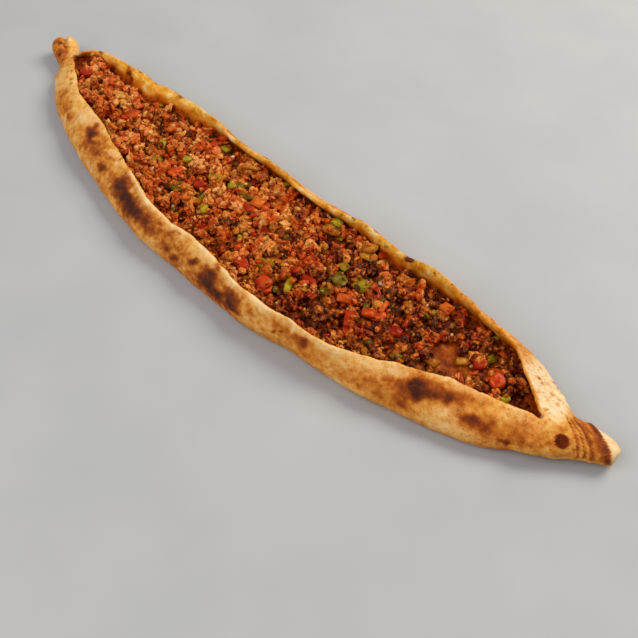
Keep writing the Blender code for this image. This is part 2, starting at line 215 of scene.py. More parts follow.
rim_places = read_points(crust.data)
reach = rim_places @ RIM_OUTWARD / MM
slices = np.floor(rim_places[:, 0] / MM).astype(int)
far_side = rim_places[:, 1] > RIM_SIDE * MM
crest = {i: reach[far_side & (slices == i)].max() for i in range(*RIM_LENGTH)}
around = range(-TEETH_SPAN, TEETH_SPAN + 1)
level = {i: np.median([crest.get(i + step, crest[i]) for step in around]) for i in crest}
teeth = np.array([max(reach[k] - level.get(slices[k], reach[k]), 0.0) for k in range(len(reach))])
teeth *= far_side
write_points(crust.data, rim_places - RIM_OUTWARD * teeth[:, None] * MM)
print("teeth of up to", round(float(teeth.max()), 2), "mm taken off")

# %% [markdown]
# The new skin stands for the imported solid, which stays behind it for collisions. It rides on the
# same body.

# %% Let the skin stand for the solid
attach(crust, "root")
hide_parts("crust")
print(crust.name, "stands for the crust")

# %% [markdown]
# The walls lean over the filling, so where the bread is open is measured from above: a ray that
# gets down past the rims has fallen into the opening. A tree of the mesh's triangles finds what
# a ray meets far faster than a search through all of them.

# %% Measure the opening from above
OPENING_LENGTH = (-204.0, 205.0, 2.0)
OPENING_WIDTH = (-43.5, 46.0, 0.5)
BELOW_RIMS = 12.5
ABOVE_ALL = 60.0


def tree_of(*meshes):
    """The meshes as one tree of triangles, so that rays can find their surface."""
    places, corners, count = [], [], 0
    for mesh in meshes:
        places += [vertex.co for vertex in mesh.vertices]
        corners += [tuple(count + i for i in face.vertices) for face in mesh.polygons]
        count += len(mesh.vertices)
    return BVHTree.FromPolygons(places, corners)


def landing(tree, x, y, start):
    """Where something that falls from a height in millimetres lands, or None."""
    return tree.ray_cast(Vector((x, y, start)) * MM, Vector((0, 0, -1)))[0]


crust_tree = tree_of(crust.data)
opening = []
for x in np.arange(*OPENING_LENGTH):
    run = []
    for y in np.arange(*OPENING_WIDTH):
        hit = landing(crust_tree, x, y, ABOVE_ALL)
        if hit and hit.z < BELOW_RIMS * MM:
            run.append(y)
    if len(run) > 2:
        opening.append((x, run[0], run[-1]))
opening = np.array(opening)
print("open from", opening[0, 0], "to", opening[-1, 0], "mm")

# %% [markdown]
# Almost everything on food fades into what is next to it. Two small helpers do that here: noise
# that is smooth over a named number of millimetres, and a step that rises gently.

# %% Make smooth noise and gentle steps
def noise_over(places, size, layer=0):
    """Smooth noise from -1 to 1 at each place, with lumps about `size` millimetres apart."""
    shift = Vector((7.3, 3.1, 5.7)) * layer
    return np.array([noise.noise(Vector(place) / (size * MM) + shift) for place in places])


def rise(low, high, values):
    """Goes gently from 0 at low to 1 at high."""
    share = np.clip((np.asarray(values) - low) / (high - low), 0.0, 1.0)
    return share * share * (3.0 - 2.0 * share)


# %% [markdown]
# Faces on the inside of the walls look towards the middle of the opening, and faces on the
# outside look away from it. The normals tell the two apart. At the two ends of the opening the
# wall faces along the bread, so these are found by their place.

# %% Tell the inside of the walls from the outside
KNOB_NECK = (-213.0, -199.0)
FAN_NECK = (192.0, 203.0)

crust_places = read_points(crust.data)
crust_normals = read_points(crust.data, "normal")
along, across, height = (crust_places / MM).T
near_edge = np.interp(along, opening[:, 0], opening[:, 1])
far_edge = np.interp(along, opening[:, 0], opening[:, 2])
open_here = rise(opening[0, 0] - 5.0, opening[0, 0] - 1.0, along) * (
    1.0 - rise(opening[-1, 0] - 1.0, opening[-1, 0] + 5.0, along))
on_far_side = across > (near_edge + far_edge) / 2.0
on_near_side = ~on_far_side
looks_inward = np.where(on_far_side, -crust_normals[:, 1], crust_normals[:, 1])
inward_from = np.where(on_far_side, -0.05, 0.30)
knob_end = (along > KNOB_NECK[0]) & (along < KNOB_NECK[1]) & (height < 14.0)
knob_end &= crust_normals[:, 0] > 0.25
fan_end = (along > FAN_NECK[0]) & (along < FAN_NECK[1]) & (height < 12.0)
fan_end &= crust_normals[:, 0] < -0.25
is_floor = (crust_normals[:, 2] > 0.6) & (height < 9.0)
inside = rise(0.0, 0.35, looks_inward - inward_from) * rise(2.0, 4.0, height) * open_here
inside = np.maximum(inside, is_floor * open_here)
knob_fade = rise(KNOB_NECK[0], KNOB_NECK[0] + 3.0, along)
inside = np.maximum(inside, knob_end * knob_fade + fan_end * 1.0)
print("inside:", round(float(inside.mean()), 2), "of the skin")

# %% [markdown]
# Sauce has crept up the inside of the walls, and fat a little further. Both end in an uneven
# line, which noise draws over the height of the filling.

# %% Let sauce and fat creep up the walls
FILLING_TOP = 10.5
SAUCE_REACH = 5.0

sauce_line = FILLING_TOP + SAUCE_REACH * (0.40 + 0.75 * noise_over(crust_places, 9.0, 3))
sauce_line += 5.0 * (1.0 - rise(-203.0, -192.0, along))
sauce = inside * (1.0 - rise(-2.5, 2.5, height - sauce_line))
greased = inside * (1.0 - rise(0.0, 6.0, height - sauce_line))
print("sauce up to", round(float(sauce_line.max()), 1), "mm high")

# %% [markdown]
# The oven leaves scorch marks where the dough bulged into the heat. They could be strewn by
# chance, but marks set by chance alone would look like another bread, so a list gives each by
# its place, its half length and half width in millimetres and how dark it is.

# %% List the scorch marks along the crust
SCORCHES = (
    # along, across, height, half length, half width, strength
    # the knob and the neck
    (-230, 25, 15.6, 2.0, 2.2, 0.42), (-226, 25.9, 12.6, 1.5, 1.5, 0.42),
    (-220, 18.8, 12.8, 2.2, 1.6, 0.36), (-234, 24, 15, 3.0, 2.5, 0.30),
    (-222, 22, 13, 5, 3, 0.20), (-189, 7.8, 19.9, 1.5, 1.4, 0.34),
    (-181.6, 1.8, 19.1, 1.8, 1.4, 0.38), (-177.3, -0.3, 19, 1.7, 1.3, 0.34),
    (-173, -12, 14.5, 10, 5, 0.17), (-162, -16.5, 14.8, 9, 5, 0.13),
    (-152.2, -19, 15.1, 5, 3.2, 0.26),
    # the near wall, from the knob to its middle
    (-122.4, -22.8, 20, 4.6, 4.0, 0.46), (-120, -28, 17, 9, 6, 0.26),
    (-108.7, -28.4, 17.5, 14, 8, 0.22), (-98.7, -31, 17, 11, 8, 0.17),
    (-101, -23.7, 20.4, 1.8, 1.5, 0.30), (-93.3, -28, 18.8, 2.2, 2.0, 0.30),
    (-87.8, -25.1, 20.6, 1.5, 1.5, 0.46), (-96.8, -35.1, 14.9, 4.2, 2.8, 0.42),
    (-72, -37.5, 17.6, 8.5, 6.0, 0.47), (-64, -41.5, 16.8, 7, 5, 0.41),
    (-57, -43.5, 16, 8, 4.5, 0.36), (-46.4, -45.4, 17.1, 8, 4.5, 0.34),
    (-37.4, -46.6, 16.9, 7, 4, 0.26), (-30.8, -47.4, 15.7, 7, 4.5, 0.26),
    (-17.2, -49, 12.1, 7, 4, 0.30), (-11.3, -49.6, 10.5, 5, 3.5, 0.26),
    (-66, -42, 16, 22, 9, 0.16), (-38, -46, 15, 30, 8, 0.12),
    (-13.9, -40.1, 20.7, 1.8, 1.3, 0.26),
    # the near wall, from its middle to the fan
    (6.1, -46.8, 16.8, 2.0, 2.0, 0.46), (21.2, -44.8, 18.7, 5.5, 4.0, 0.37),
    (16.5, -48, 15, 4.0, 4.0, 0.30), (20, -49, 12.9, 6, 3.6, 0.36),
    (29.6, -49.3, 11.3, 6, 3.6, 0.34), (41.4, -49.4, 12.8, 7, 4.2, 0.34),
    (25, -48, 15, 15, 8, 0.15), (36, -46.8, 16.3, 5, 4, 0.20), (43, -43, 20, 5, 2.2, 0.20),
    (60.7, -47.2, 13.5, 1.5, 1.3, 0.34), (71.8, -45.1, 13.3, 1.5, 1.2, 0.40),
    (75.3, -44.1, 14.8, 1.6, 1.3, 0.40), (70.8, -42.9, 19.7, 10, 4, 0.28),
    (86, -43, 15, 14, 6, 0.16), (87.9, -41.3, 16.4, 5, 3.4, 0.32),
    (114.2, -38.8, 10.6, 9, 4, 0.16), (124.5, -35.3, 14.8, 7, 4, 0.14),
    (140, -24, 18.5, 7, 3, 0.18), (149.5, -20.2, 17.9, 7.4, 6.2, 0.66),
    (157, -14.5, 18.4, 7.0, 5.0, 0.34), (160, -14, 17.6, 13, 6, 0.28),
    (163, -11.8, 18.3, 7, 4, 0.42), (46, -46.9, 18.1, 6, 3, 0.26), (52, -46, 19.5, 7, 2.4, 0.22),
    (50, -46, 15, 8, 5, 0.20), (167.2, -9.4, 17.8, 6, 4, 0.20), (147, -29.2, 11.5, 11, 3.6, 0.24),
    (181, -12.6, 13.6, 7.5, 3.0, 0.36), (186, -10.5, 13.2, 12, 5, 0.20),
    (198.5, 4.2, 16.2, 6, 5, 0.20), (201, -2.3, 13.4, 8, 4.5, 0.24),
    (196.7, -8.2, 10, 3, 1.6, 0.32), (209, 3, 13, 5, 5, 0.12), (217.4, 11, 13.4, 3.0, 3.0, 0.20),
    # the far wall and its rim
    (-197.8, 37.1, 18.9, 6, 2.0, 0.40), (-165.6, 37.9, 16.8, 3.2, 2.6, 0.42),
    (-162.4, 36.8, 14.1, 2.6, 2.8, 0.36), (-156.7, 42.6, 20.1, 2.0, 1.4, 0.40),
    (-150, 44, 20.0, 14, 1.8, 0.26), (-170, 42, 18.6, 10, 1.6, 0.24),
    (-120, 46, 20, 20, 1.9, 0.32), (-70, 48, 21, 22, 1.8, 0.28), (-30, 46, 20.5, 18, 1.6, 0.22),
    (20, 46, 20, 20, 1.5, 0.20), (120, 47, 20.5, 16, 1.5, 0.20), (150, 45, 20, 10, 1.4, 0.18),
    (-140, 44.5, 19.6, 2.4, 1.4, 0.34), (-118, 46.5, 19.8, 2.2, 1.2, 0.36),
    (-98, 47.4, 21, 2.6, 1.2, 0.34), (-10, 42, 19.8, 2.4, 1.1, 0.30),
    (34.7, 42.9, 19.1, 1.8, 1.5, 0.34), (60.7, 47.1, 20.3, 1.6, 1.2, 0.40),
    (70.9, 44.1, 17.5, 1.6, 1.3, 0.42), (87, 45.3, 18.8, 3.2, 1.8, 0.60),
    (187.5, 32.6, 16.1, 1.6, 0.9, 0.36), (190, 31, 15.9, 1.2, 0.8, 0.34),
    (178, 38, 15, 2.4, 1.2, 0.26),
)
print(len(SCORCHES), "scorch marks")

# %% [markdown]
# A real mark is darkest in its middle, frays into flecks at its edge and has a wide faint halo of
# toasted dough. Each one is a soft oval along the wall. The places are bent by noise before they
# are measured, which bends the edges of all ovals, and small flecks are strewn between them.

# %% Lay the scorch marks on the crust
RANDOM_FLECKS = 170

chance = random.Random(SEED)
bent = crust_places / MM
bent[:, 0] += 2.8 * noise_over(crust_places, 8.0, 1) + 1.6 * noise_over(crust_places, 3.0, 2)
bent[:, 1] += 1.2 * noise_over(crust_places, 5.0, 4)
bent[:, 2] += 1.6 * noise_over(crust_places, 7.0, 5) + 1.0 * noise_over(crust_places, 2.8, 6)
broken = 1.0 + 0.55 * noise_over(crust_places, 3.6, 15) + 0.45 * noise_over(crust_places, 9.0, 16)
edge_slope = np.gradient(opening[:, 1], opening[:, 0])


def mark(x, y, z, half_length, half_width, strength):
    """How strongly one scorch mark shows at each point of the crust."""
    heading = math.atan(float(np.interp(x, opening[:, 0], edge_slope)))
    offset = bent - np.array([x, y, z])
    lengthways = offset[:, 0] * math.cos(heading) + offset[:, 1] * math.sin(heading)
    crossways = np.sqrt(np.maximum((offset ** 2).sum(axis=1) - lengthways ** 2, 0.0))
    away = (lengthways / half_length) ** 2 + (crossways / half_width) ** 2
    halo = 0.30 * np.exp(-0.35 * away) if strength > 0.3 and half_length > 2.5 else 0.0
    return strength * (0.80 * np.exp(-0.9 * away ** 1.15) + halo)


scorch = np.zeros(len(bent))
for place in SCORCHES:
    this_mark = mark(*place)
    scorch = np.maximum(scorch, this_mark) + 0.30 * np.minimum(scorch, this_mark)
scorch *= 1.0 + (np.clip(broken, 0.4, 1.5) - 1.0) * (1.0 - 0.72 * rise(0.22, 0.46, scorch))
outside_points = np.flatnonzero((inside < 0.2) & (height > 6.0))
for _ in range(RANDOM_FLECKS):
    x, y, z = crust_places[chance.choice(outside_points)] / MM
    size = chance.uniform(0.8, 1.9)
    scorch += mark(x, y, z, size * chance.uniform(1.0, 1.8), size * 0.8, chance.uniform(0.08, 0.26))
print("darkest mark", round(float(scorch.max()), 2))

# %% [markdown]
# The crust's base tone changes slowly, by where on the bread a point is. Each such place gets a
# mask first, a number from 0 to 1 on every point: the rims, the thin lip of the near wall, the
# bulge low down, the far flap by the fan, the knob and the fan.

# %% Find the rims, the flap, the knob and the fan
RIM_HEIGHT = 20.5
LIP_INSET = 1.1
LIP_WIDTH = 1.9

is_rim = rise(RIM_HEIGHT - 3.2, RIM_HEIGHT - 0.6, height) * open_here
lip = np.exp(-((across - near_edge + LIP_INSET) / LIP_WIDTH) ** 2)
lip = lip * rise(15.0, 18.0, height) * open_here
low_down = (1.0 - rise(3.0, 11.0, height)) * on_near_side
pale_flap = rise(172.0, 184.0, along) * (1.0 - rise(208.0, 216.0, along))
pale_flap = pale_flap * on_far_side * (1.0 - inside)
# the seam between the knob's two lobes runs slantwise over it
knob_seam = 28.3 - 0.545 * (along + 228.0)
in_knob = 1.0 - rise(-219.0, -208.0, along)
# how far a point of the fan lies past its last pleat, in millimetres
fan_reach = 0.540 * along + 0.842 * across - 148.4
on_fan = rise(205.0, 214.0, along) * rise(6.0, 8.0, height)
print("on the fan:", round(float(on_fan.mean()), 3), "of the skin")

# %% [markdown]
# The tone is kept apart from the marks, so that each can be judged by itself. The lip is pale, the
# bulge tan and the near wall lighter towards the fan. The knob has a darker lobe and a paler one,
# partly from browning and partly as painted shade and light, as its near lobe faces away from the
# lamp. The fan is browned but for its end, and the flap is nearly raw, with a few toasted specks.

# %% Set the tone that the oven gave the crust
BASE_TONE = 0.345

steady = 1.0 - 0.75 * on_fan
tone = BASE_TONE + steady * 0.15 * noise_over(crust_places, 21.0, 7)
tone += steady * (0.08 * noise_over(crust_places, 6.5, 8)
                  + 0.06 * noise_over(crust_places, 2.6, 17))
tone += 0.05 * rise(-110.0, 0.0, along) - 0.05 * is_rim - 0.17 * lip
tone -= 0.11 * rise(35.0, 80.0, along) * on_near_side * (1.0 - on_fan)
# partly painted shade and light: the knob's near lobe is made darker and its far lobe paler
tone += in_knob * np.where(across < knob_seam, 0.04, -0.10) - 0.13 * pale_flap
tone += on_fan * (0.12 * rise(-10.5, -8.5, fan_reach) + 0.22 * rise(-4.2, -1.8, fan_reach))
tone -= on_fan * 0.55 * rise(-0.2, 1.0, fan_reach)
band_under_lip = 0.11 * rise(17.6, 20.0, height) * rise(-10.0, 20.0, along)
tone -= band_under_lip * on_near_side * (1.0 - lip) * open_here
specks_of_flap = np.clip(2.4 * noise_over(crust_places, 3.2, 18) - 0.35, 0.0, 1.0) * pale_flap
specks_of_flap *= rise(176.0, 204.0, along)
tone += 0.26 * specks_of_flap
print("tone from", round(float(tone.min()), 2), "to", round(float(tone.max()), 2))

# %% [markdown]
# Flour is left from the bench where the dough was handled: on the lip, on the flap and on the
# fan's end. None is left where the crust is greased or browned.

# %% Dust the crust with flour
flour = 0.05 + 0.6 * noise_over(crust_places, 14.0, 9) + 0.15 * is_rim + 0.38 * lip
flour = np.clip(flour, 0.0, 1.0)
flour *= 1.0 - 0.6 * rise(20.0, 70.0, along) * on_near_side
flour = np.maximum(flour * (1.0 - low_down), 1.1 * pale_flap * (1.0 - specks_of_flap))
unbrowned = 1.0 - rise(0.34, 0.50, tone + scorch)
flour *= (1.0 - inside) * (1.0 - on_fan) * (1.0 - in_knob) * unbrowned
flour = np.maximum(flour, 0.8 * on_fan * rise(0.0, 1.2, fan_reach))
print("flour on", round(float((flour > 0.3).mean()), 2), "of the skin")

# %% [markdown]
# A drop of sauce has burnt on beside the fan and left a round dark spot. Noise on its radius
# keeps it from looking stamped. It counts as sauce for the colour and as a mark for the depth.

# %% Burn on a drop of sauce
SAUCE_SPOT = (217.4, 11.0, 13.4)
SPOT_RADIUS = 3.4

spot_away = np.linalg.norm(crust_places / MM - np.array(SAUCE_SPOT), axis=1)
spot_away += 0.35 * noise_over(crust_places, 3.0, 27)
sauce_spot = 1.0 - rise(SPOT_RADIUS - 0.7, SPOT_RADIUS + 0.5, spot_away)
sauce = np.maximum(sauce, 0.92 * sauce_spot)
scorch += 0.62 * sauce_spot
print("the drop covers", int((sauce_spot > 0.5).sum()), "points")

# %% [markdown]
# Two more masks finish the crust. Toasted places carry fine brown specks, most of all the far
# rim. Amber is where fat has run or soaked in: low on the near wall and inside the walls.

# %% Toast and grease the crust, and keep all masks on its points
def paint(mesh, name, values):
    """Keeps one number for each point, which the material can read by its name."""
    layer = mesh.attributes.new(name, "FLOAT", "POINT")
    layer.data.foreach_set("value", np.asarray(values, dtype=np.float32))


toasted = np.maximum(0.9 * is_rim * on_far_side, 0.35 * pale_flap)
toasted = np.maximum(toasted, in_knob * np.where(across < knob_seam, 0.9, 0.25))
toasted = np.maximum(toasted, 0.45 * rise(125.0, 150.0, along) * (1.0 - on_fan) * (1.0 - lip))
toasted = np.maximum(toasted, 0.30 * (1.0 - lip)) * rise(4.0, 7.0, height)
amber = low_down * np.clip(0.40 + 0.7 * noise_over(crust_places, 18.0, 10), 0.0, 1.0)
amber = np.maximum(amber, 0.22 * rise(30.0, 80.0, along) * on_near_side * (1.0 - on_fan))
amber = np.maximum(amber, 0.65 * inside * rise(90.0, 140.0, along))
amber = np.maximum(amber, greased)
crust_masks = {"flour": flour, "inside": inside, "sauce": sauce, "amber": amber, "toasted": toasted}
for name, mask in crust_masks.items():
    paint(crust.data, name, mask)
print("masks:", ", ".join(crust_masks))

# %% [markdown]
# Dough is uneven, and it wrinkles where it was pinched. Sculpting would show this best, but here
# the points are pushed along their normals by sums of noise: broad, fine, and coarse bubbles on
# the flap. Pores finer than the skin are left to the material's bump.

# %% Make the dough uneven and pinch the knob
KNOB_SEAM_DEPTH = 1.1

push = 0.34 * noise_over(crust_places, 6.5, 11) + 0.17 * noise_over(crust_places, 2.8, 12)
push += 0.10 * is_rim * noise_over(crust_places, 5.0, 13)
knob_groove = np.exp(-((across - knob_seam) / 1.5) ** 2)
push -= KNOB_SEAM_DEPTH * in_knob * knob_groove * rise(9.0, 12.0, height)
bubbly = rise(182.0, 192.0, along) * (1.0 - rise(206.0, 212.0, along)) * on_far_side
push += 0.45 * bubbly * noise_over(crust_places, 2.4, 14)
print("uneven by up to", round(float(np.abs(push).max()), 2), "mm")

# %% [markdown]
# Gas in the dough lifts round blisters, and the largest of them are scorched on top. These are
# in a list, at the places of their marks. Smaller ones and a few dimples are strewn by chance.

# %% Raise the blisters
BLISTERS = (
    # along, across, height, radius, lift
    (-94, -28, 18.7, 2.6, 0.55), (-88, -25.3, 20.7, 2.2, 0.7), (5.6, -46.8, 16.8, 3.0, 0.6),
    (-72, -39, 17, 6.0, 0.5), (151, -19.5, 18, 6.0, 0.6), (187, -4, 16.4, 4.5, 0.8),
    (217, 11.2, 13, 3.2, 0.5), (41, -49.5, 12.8, 4.0, 0.5), (201, 27, 15.4, 4.0, 0.5),
)
RANDOM_BLISTERS = 150

spots = list(BLISTERS)
for _ in range(RANDOM_BLISTERS):
    x, y, z = crust_places[chance.choice(outside_points)] / MM
    spots.append((x, y, z, chance.uniform(1.6, 4.2), chance.uniform(-0.25, 0.5)))
for x, y, z, radius, lift in spots:
    away = ((crust_places / MM - np.array([x, y, z])) ** 2).sum(axis=1) / radius ** 2
    push += lift * np.exp(-away ** 1.5)
print(len(spots), "blisters and dimples")

# %% [markdown]
# Fingers have pressed the fan into pleats. Each is a ridge with a groove behind it, square to the
# fan and slightly bent. The grooves bake darker than the ridges, so the pleats change the bake
# as well as the shape.

# %% Press the pleats into the fan
PLEATS = (
    # place before the fan's pale end, lift, breadth
    (-15.4, 0.8, 0.9), (-12.6, 0.9, 0.9), (-9.6, 0.5, 0.8), (-5.6, 0.2, 0.9),
)

pleat_bend = fan_reach + 0.02 * (across - 20.0) ** 2 + 0.5 * noise_over(crust_places, 5.0, 19)
crease = np.zeros(len(push))
for reach, lift, breadth in PLEATS:
    away = (pleat_bend - reach) / breadth
    push += lift * on_fan * (np.exp(-away ** 2) - 0.9 * np.exp(-(away - 1.5) ** 2))
    crease = np.maximum(crease, min(lift, 0.6) * on_fan * np.exp(-(away - 1.5) ** 2))
    crease -= 0.30 * lift * on_fan * np.exp(-away ** 2)
paint(crust.data, "bake", np.clip(tone + scorch + 0.45 * crease, 0.0, 1.0))
print(len(PLEATS), "pleats")

# %% [markdown]
# All of this moves the points once. The underside stays flat, as the bread rests on it, and no
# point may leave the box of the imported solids.

# %% Push the crust's points out and in
push *= rise(0.6, 2.5, height)
low, high = (np.array(corner) for corner in solids_box)
crust_places += crust_normals * push[:, None] * MM
crust_places = np.clip(crust_places, low, high)
write_points(crust.data, crust_places)
crust_tree = tree_of(crust.data)
print("pushed by up to", round(float(np.abs(push).max()), 2), "mm")

# %% [markdown]
# ## Tools for materials
#
# Colours are written as they look on a screen, and the shader works with linear light. One
# function turns one into the other, so that every colour below can be compared with what one
# sees.

# %% Turn a screen colour into linear light
def linear(screen):
    """A colour such as #d9a05c as the linear values that the shader wants."""
    values = [int(screen[i:i + 2], 16) / 255.0 for i in (1, 3, 5)]
    return (*[v / 12.92 if v <= 0.04045 else ((v + 0.055) / 1.055) ** 2.4 for v in values], 1.0)


# %% [markdown]
# A material is a list of what is laid over what. Nodes could be placed and linked by hand in the
# editor. Here one function adds a node with its settings and its links, which keeps each step of
# a finish on one line.

# %% Add a node with its settings and its links
def add(tree, kind, inputs, stops=(), **settings):
    """Adds a node: inputs, by name or number, are values, colours or what feeds them."""
    node = tree.nodes.new(kind)
    for name, value in settings.items():
        setattr(node, name, value)
    for i, (place, screen) in enumerate(stops):
        points = node.color_ramp.elements
        point = points[i] if i < len(points) else points.new(place)
        point.position = place
        point.color = linear(screen) if isinstance(screen, str) else (screen,) * 3 + (1.0,)
    for name, value in inputs.items():
        socket = node.inputs[name] if isinstance(name, int) else next(
            s for s in node.inputs if s.name == name and s.enabled)
        if isinstance(value, bpy.types.Node):
            value = next(s for s in value.outputs if s.enabled)
        if isinstance(value, bpy.types.NodeSocket):
            tree.links.new(value, socket)
        else:
            socket.default_value = linear(value) if isinstance(value, str) else value
    return node


# %% [markdown]
# Every finish starts the same way: a new material on the piece, its shader and the object's own
# coordinates in metres. A pattern's scale is given by the real size of what it shows.

# %% Start a finish on a piece
def new_finish(name, piece):
    """An empty material on a piece, with its node tree, its shader and its object coordinates."""
    finish = bpy.data.materials.new(name)
    finish.use_nodes = True
    tree = finish.node_tree
    piece.data.materials.clear()
    piece.data.materials.append(finish)
    place = tree.nodes.new("ShaderNodeTexCoord").outputs["Object"]
    return tree, tree.nodes["Principled BSDF"], place


def per_metre(size):
    """The scale of a pattern whose features are `size` millimetres apart."""
    return 1.0 / (size * MM)


# %% [markdown]
# ## The finish of the crust
#
# The material is baked bread dough. Its dry outside is dull and scatters light, and its colour
# runs from cream over tan to nearly black. A colour ramp does this from one number, the bake, to
# which noise is added so that marks fray. The mottling is as coarse as the real crust's blotches,
# about 4 mm, and the flour lies in flecks of about 1 mm.

# %% Bake the outside: cream, tan and char, with a dusting of flour
tree, shader, place = new_finish("baked_dough", crust)
masks = {name: add(tree, "ShaderNodeAttribute", {}, attribute_name=name).outputs["Fac"]
         for name in ("bake", "flour", "amber", "inside", "sauce", "toasted")}
mottle = add(tree, "ShaderNodeTexNoise",
             {"Vector": place, "Scale": per_metre(3.6), "Detail": 5.0, "Roughness": 0.68})
fleck = add(tree, "ShaderNodeTexNoise",
            {"Vector": place, "Scale": per_metre(1.3), "Detail": 3.0, "Roughness": 0.7})
around_zero = add(tree, "ShaderNodeMapRange",
                  {"Value": mottle, "From Min": 0.3, "From Max": 0.7, "To Min": -0.12,
                   "To Max": 0.12}, clamp=False)
frayed = add(tree, "ShaderNodeMath", {0: around_zero, 1: masks["bake"]}, operation="ADD")
outer = add(tree, "ShaderNodeValToRGB", {"Fac": frayed}, stops=(
    (0.00, "#f6dca6"), (0.17, "#efc580"), (0.31, "#e3a551"), (0.44, "#cd802e"), (0.55, "#aa5a1e"),
    (0.67, "#853c18"), (0.79, "#602c1c"), (0.92, "#46221b")))
dusting = add(tree, "ShaderNodeMath", {0: fleck, 1: masks["flour"]}, operation="MULTIPLY")
floured = add(tree, "ShaderNodeMix", {"Factor": dusting, "A": outer, "B": "#f0e0bc"},
              data_type="RGBA")
print("outside of the crust:", len(tree.nodes), "nodes")

# %% [markdown]
# The inside of the walls has soaked up fat, so it is yellower and has a ramp of its own. The fat
# pools in patches of nearly a centimetre, and the palest of them are partly painted highlights, the
# sheen of the fat. Only the darkest marks show through it.

# %% Soak the inside of the walls in fat
pooled = add(tree, "ShaderNodeTexNoise",
             {"Vector": place, "Scale": per_metre(9.0), "Detail": 5.0, "Roughness": 0.62})
# the two palest stops are partly painted highlights: the sheen of the fat
inner = add(tree, "ShaderNodeValToRGB", {"Fac": pooled}, stops=(
    (0.32, "#c46e10"), (0.43, "#e09626"), (0.53, "#efb44a"), (0.62, "#f6d184"), (0.74, "#f9e0a6")))
inner_marks = add(tree, "ShaderNodeMapRange", {"Value": frayed, "From Min": 0.44, "From Max": 0.74})
inner_marked = add(tree, "ShaderNodeMix", {"Factor": inner_marks, "A": inner, "B": "#6a2a10"},
                   data_type="RGBA")
dough = add(tree, "ShaderNodeMix", {"Factor": masks["inside"], "A": floured, "B": inner_marked},
            data_type="RGBA")
print("with the inside:", len(tree.nodes), "nodes")

# %% [markdown]
# Three layers go over both: toasted specks of about 2 mm, amber where fat has run, and sauce. Fat
# darkens what is under it as a glaze does, so it is multiplied instead of mixed. Sauce hides the
# dough, and is darker where the bake is.

# %% Lay specks, fat and sauce over the dough
grit = add(tree, "ShaderNodeTexNoise",
           {"Vector": place, "Scale": per_metre(1.9), "Detail": 2.0, "Roughness": 0.6})
specks = add(tree, "ShaderNodeMapRange", {"Value": grit, "From Min": 0.57, "From Max": 0.68})
speckled = add(tree, "ShaderNodeMath", {0: specks, 1: masks["toasted"]}, operation="MULTIPLY")
toasty = add(tree, "ShaderNodeMix", {"Factor": speckled, "A": dough, "B": "#8a4418"},
             data_type="RGBA")
glazed = add(tree, "ShaderNodeMix", {"Factor": masks["amber"], "A": toasty, "B": "#f4b858"},
             data_type="RGBA", blend_type="MULTIPLY")
deepened = add(tree, "ShaderNodeMath", {0: masks["bake"], 1: -0.4, 2: mottle},
               operation="MULTIPLY_ADD")
stain = add(tree, "ShaderNodeValToRGB", {"Fac": deepened}, stops=(
    (0.10, "#4e1202"), (0.24, "#762405"), (0.35, "#a03a08"), (0.45, "#be560e"), (0.57, "#cf7620")))
stained = add(tree, "ShaderNodeMix", {"Factor": masks["sauce"], "A": glazed, "B": stain},
              data_type="RGBA")
tree.links.new(stained.outputs[2], shader.inputs["Base Color"])
print("with its layers:", len(tree.nodes), "nodes")

# %% [markdown]
# Dry dough is rough, and greased dough is glossier. Real pores are a few tenths of a millimetre
# wide, too fine to show here, so they are drawn about a millimetre apart. A low specular level
# with a warm tint keeps the lamps from turning the crust grey.

# %% Give the crust its gloss and its pores
gloss = add(tree, "ShaderNodeMapRange",
            {"Value": masks["inside"], "To Min": 0.78, "To Max": 0.36})
tree.links.new(gloss.outputs["Result"], shader.inputs["Roughness"])
pores = add(tree, "ShaderNodeTexNoise",
            {"Vector": place, "Scale": per_metre(1.1), "Detail": 4.0, "Roughness": 0.65})
pored = add(tree, "ShaderNodeBump", {"Height": pores, "Strength": 0.5, "Distance": 0.0007})
relief = add(tree, "ShaderNodeBump",
             {"Height": mottle, "Strength": 0.4, "Distance": 0.0012, "Normal": pored})
tree.links.new(relief.outputs["Normal"], shader.inputs["Normal"])
shader.inputs["IOR"].default_value = 1.45
shader.inputs["Specular IOR Level"].default_value = 0.24
shader.inputs["Specular Tint"].default_value = linear("#ffc080")
print("baked_dough has", len(tree.nodes), "nodes")

# %% [markdown]
# ## The filling's core
#
# Under the crumbs that show, minced meat is a dense bed of sauce and crumbs. The core keeps the
# form of its solid, as the loose pieces rest on it. What is finer than a grain of rice is
# relief here, because thousands of such grains would show no more than a rough surface does.

# %% Wrap the bed of mince in a fine skin
BED_CELL = 0.95

bed = welded_copy("filling", "mince_bed")
resurface(bed, cell=BED_CELL, smoothing=2)
bed_places = read_points(bed.data)
bed_normals = read_points(bed.data, "normal")
on_top = rise(0.15, 0.6, bed_normals[:, 2])
# nothing strewn later may reach below this height, or it would come out under the bread
bed_floor = float(bed_places[:, 2].min()) + 1.0 * MM
print("lowest height for crumbs:", round(bed_floor / MM, 1), "mm")

# %% [markdown]
# Near the fan the mince has slid aside, and dough soaked in sauce lies bare. The patch is an oval
# whose edge noise frays. It is a function of the place, because whatever is dropped later has to
# ask whether it falls on the patch.

# %% Keep a patch of dough bare
# along, across, half length, half width
BARE_PATCH = (146.0, 13.5, 16.0, 11.5)


def bareness(places):
    """How bare the dough is at each place: 1 in the patch without mince, 0 in the mince."""
    away = np.hypot((places[:, 0] / MM - BARE_PATCH[0]) / BARE_PATCH[2],
                    (places[:, 1] / MM - BARE_PATCH[1]) / BARE_PATCH[3])
    return 1.0 - rise(0.62, 1.05, away + 0.42 * noise_over(places, 7.0, 4))


bare = bareness(bed_places)
print("bare:", round(float((bare * on_top).mean()), 3), "of the bed")

# %% [markdown]
# Mince is spread by hand, so it lies in heaps with hollows between them. Noise makes the heaps.
# The deepest hollows are in a list, as they are what one sees first from the side.

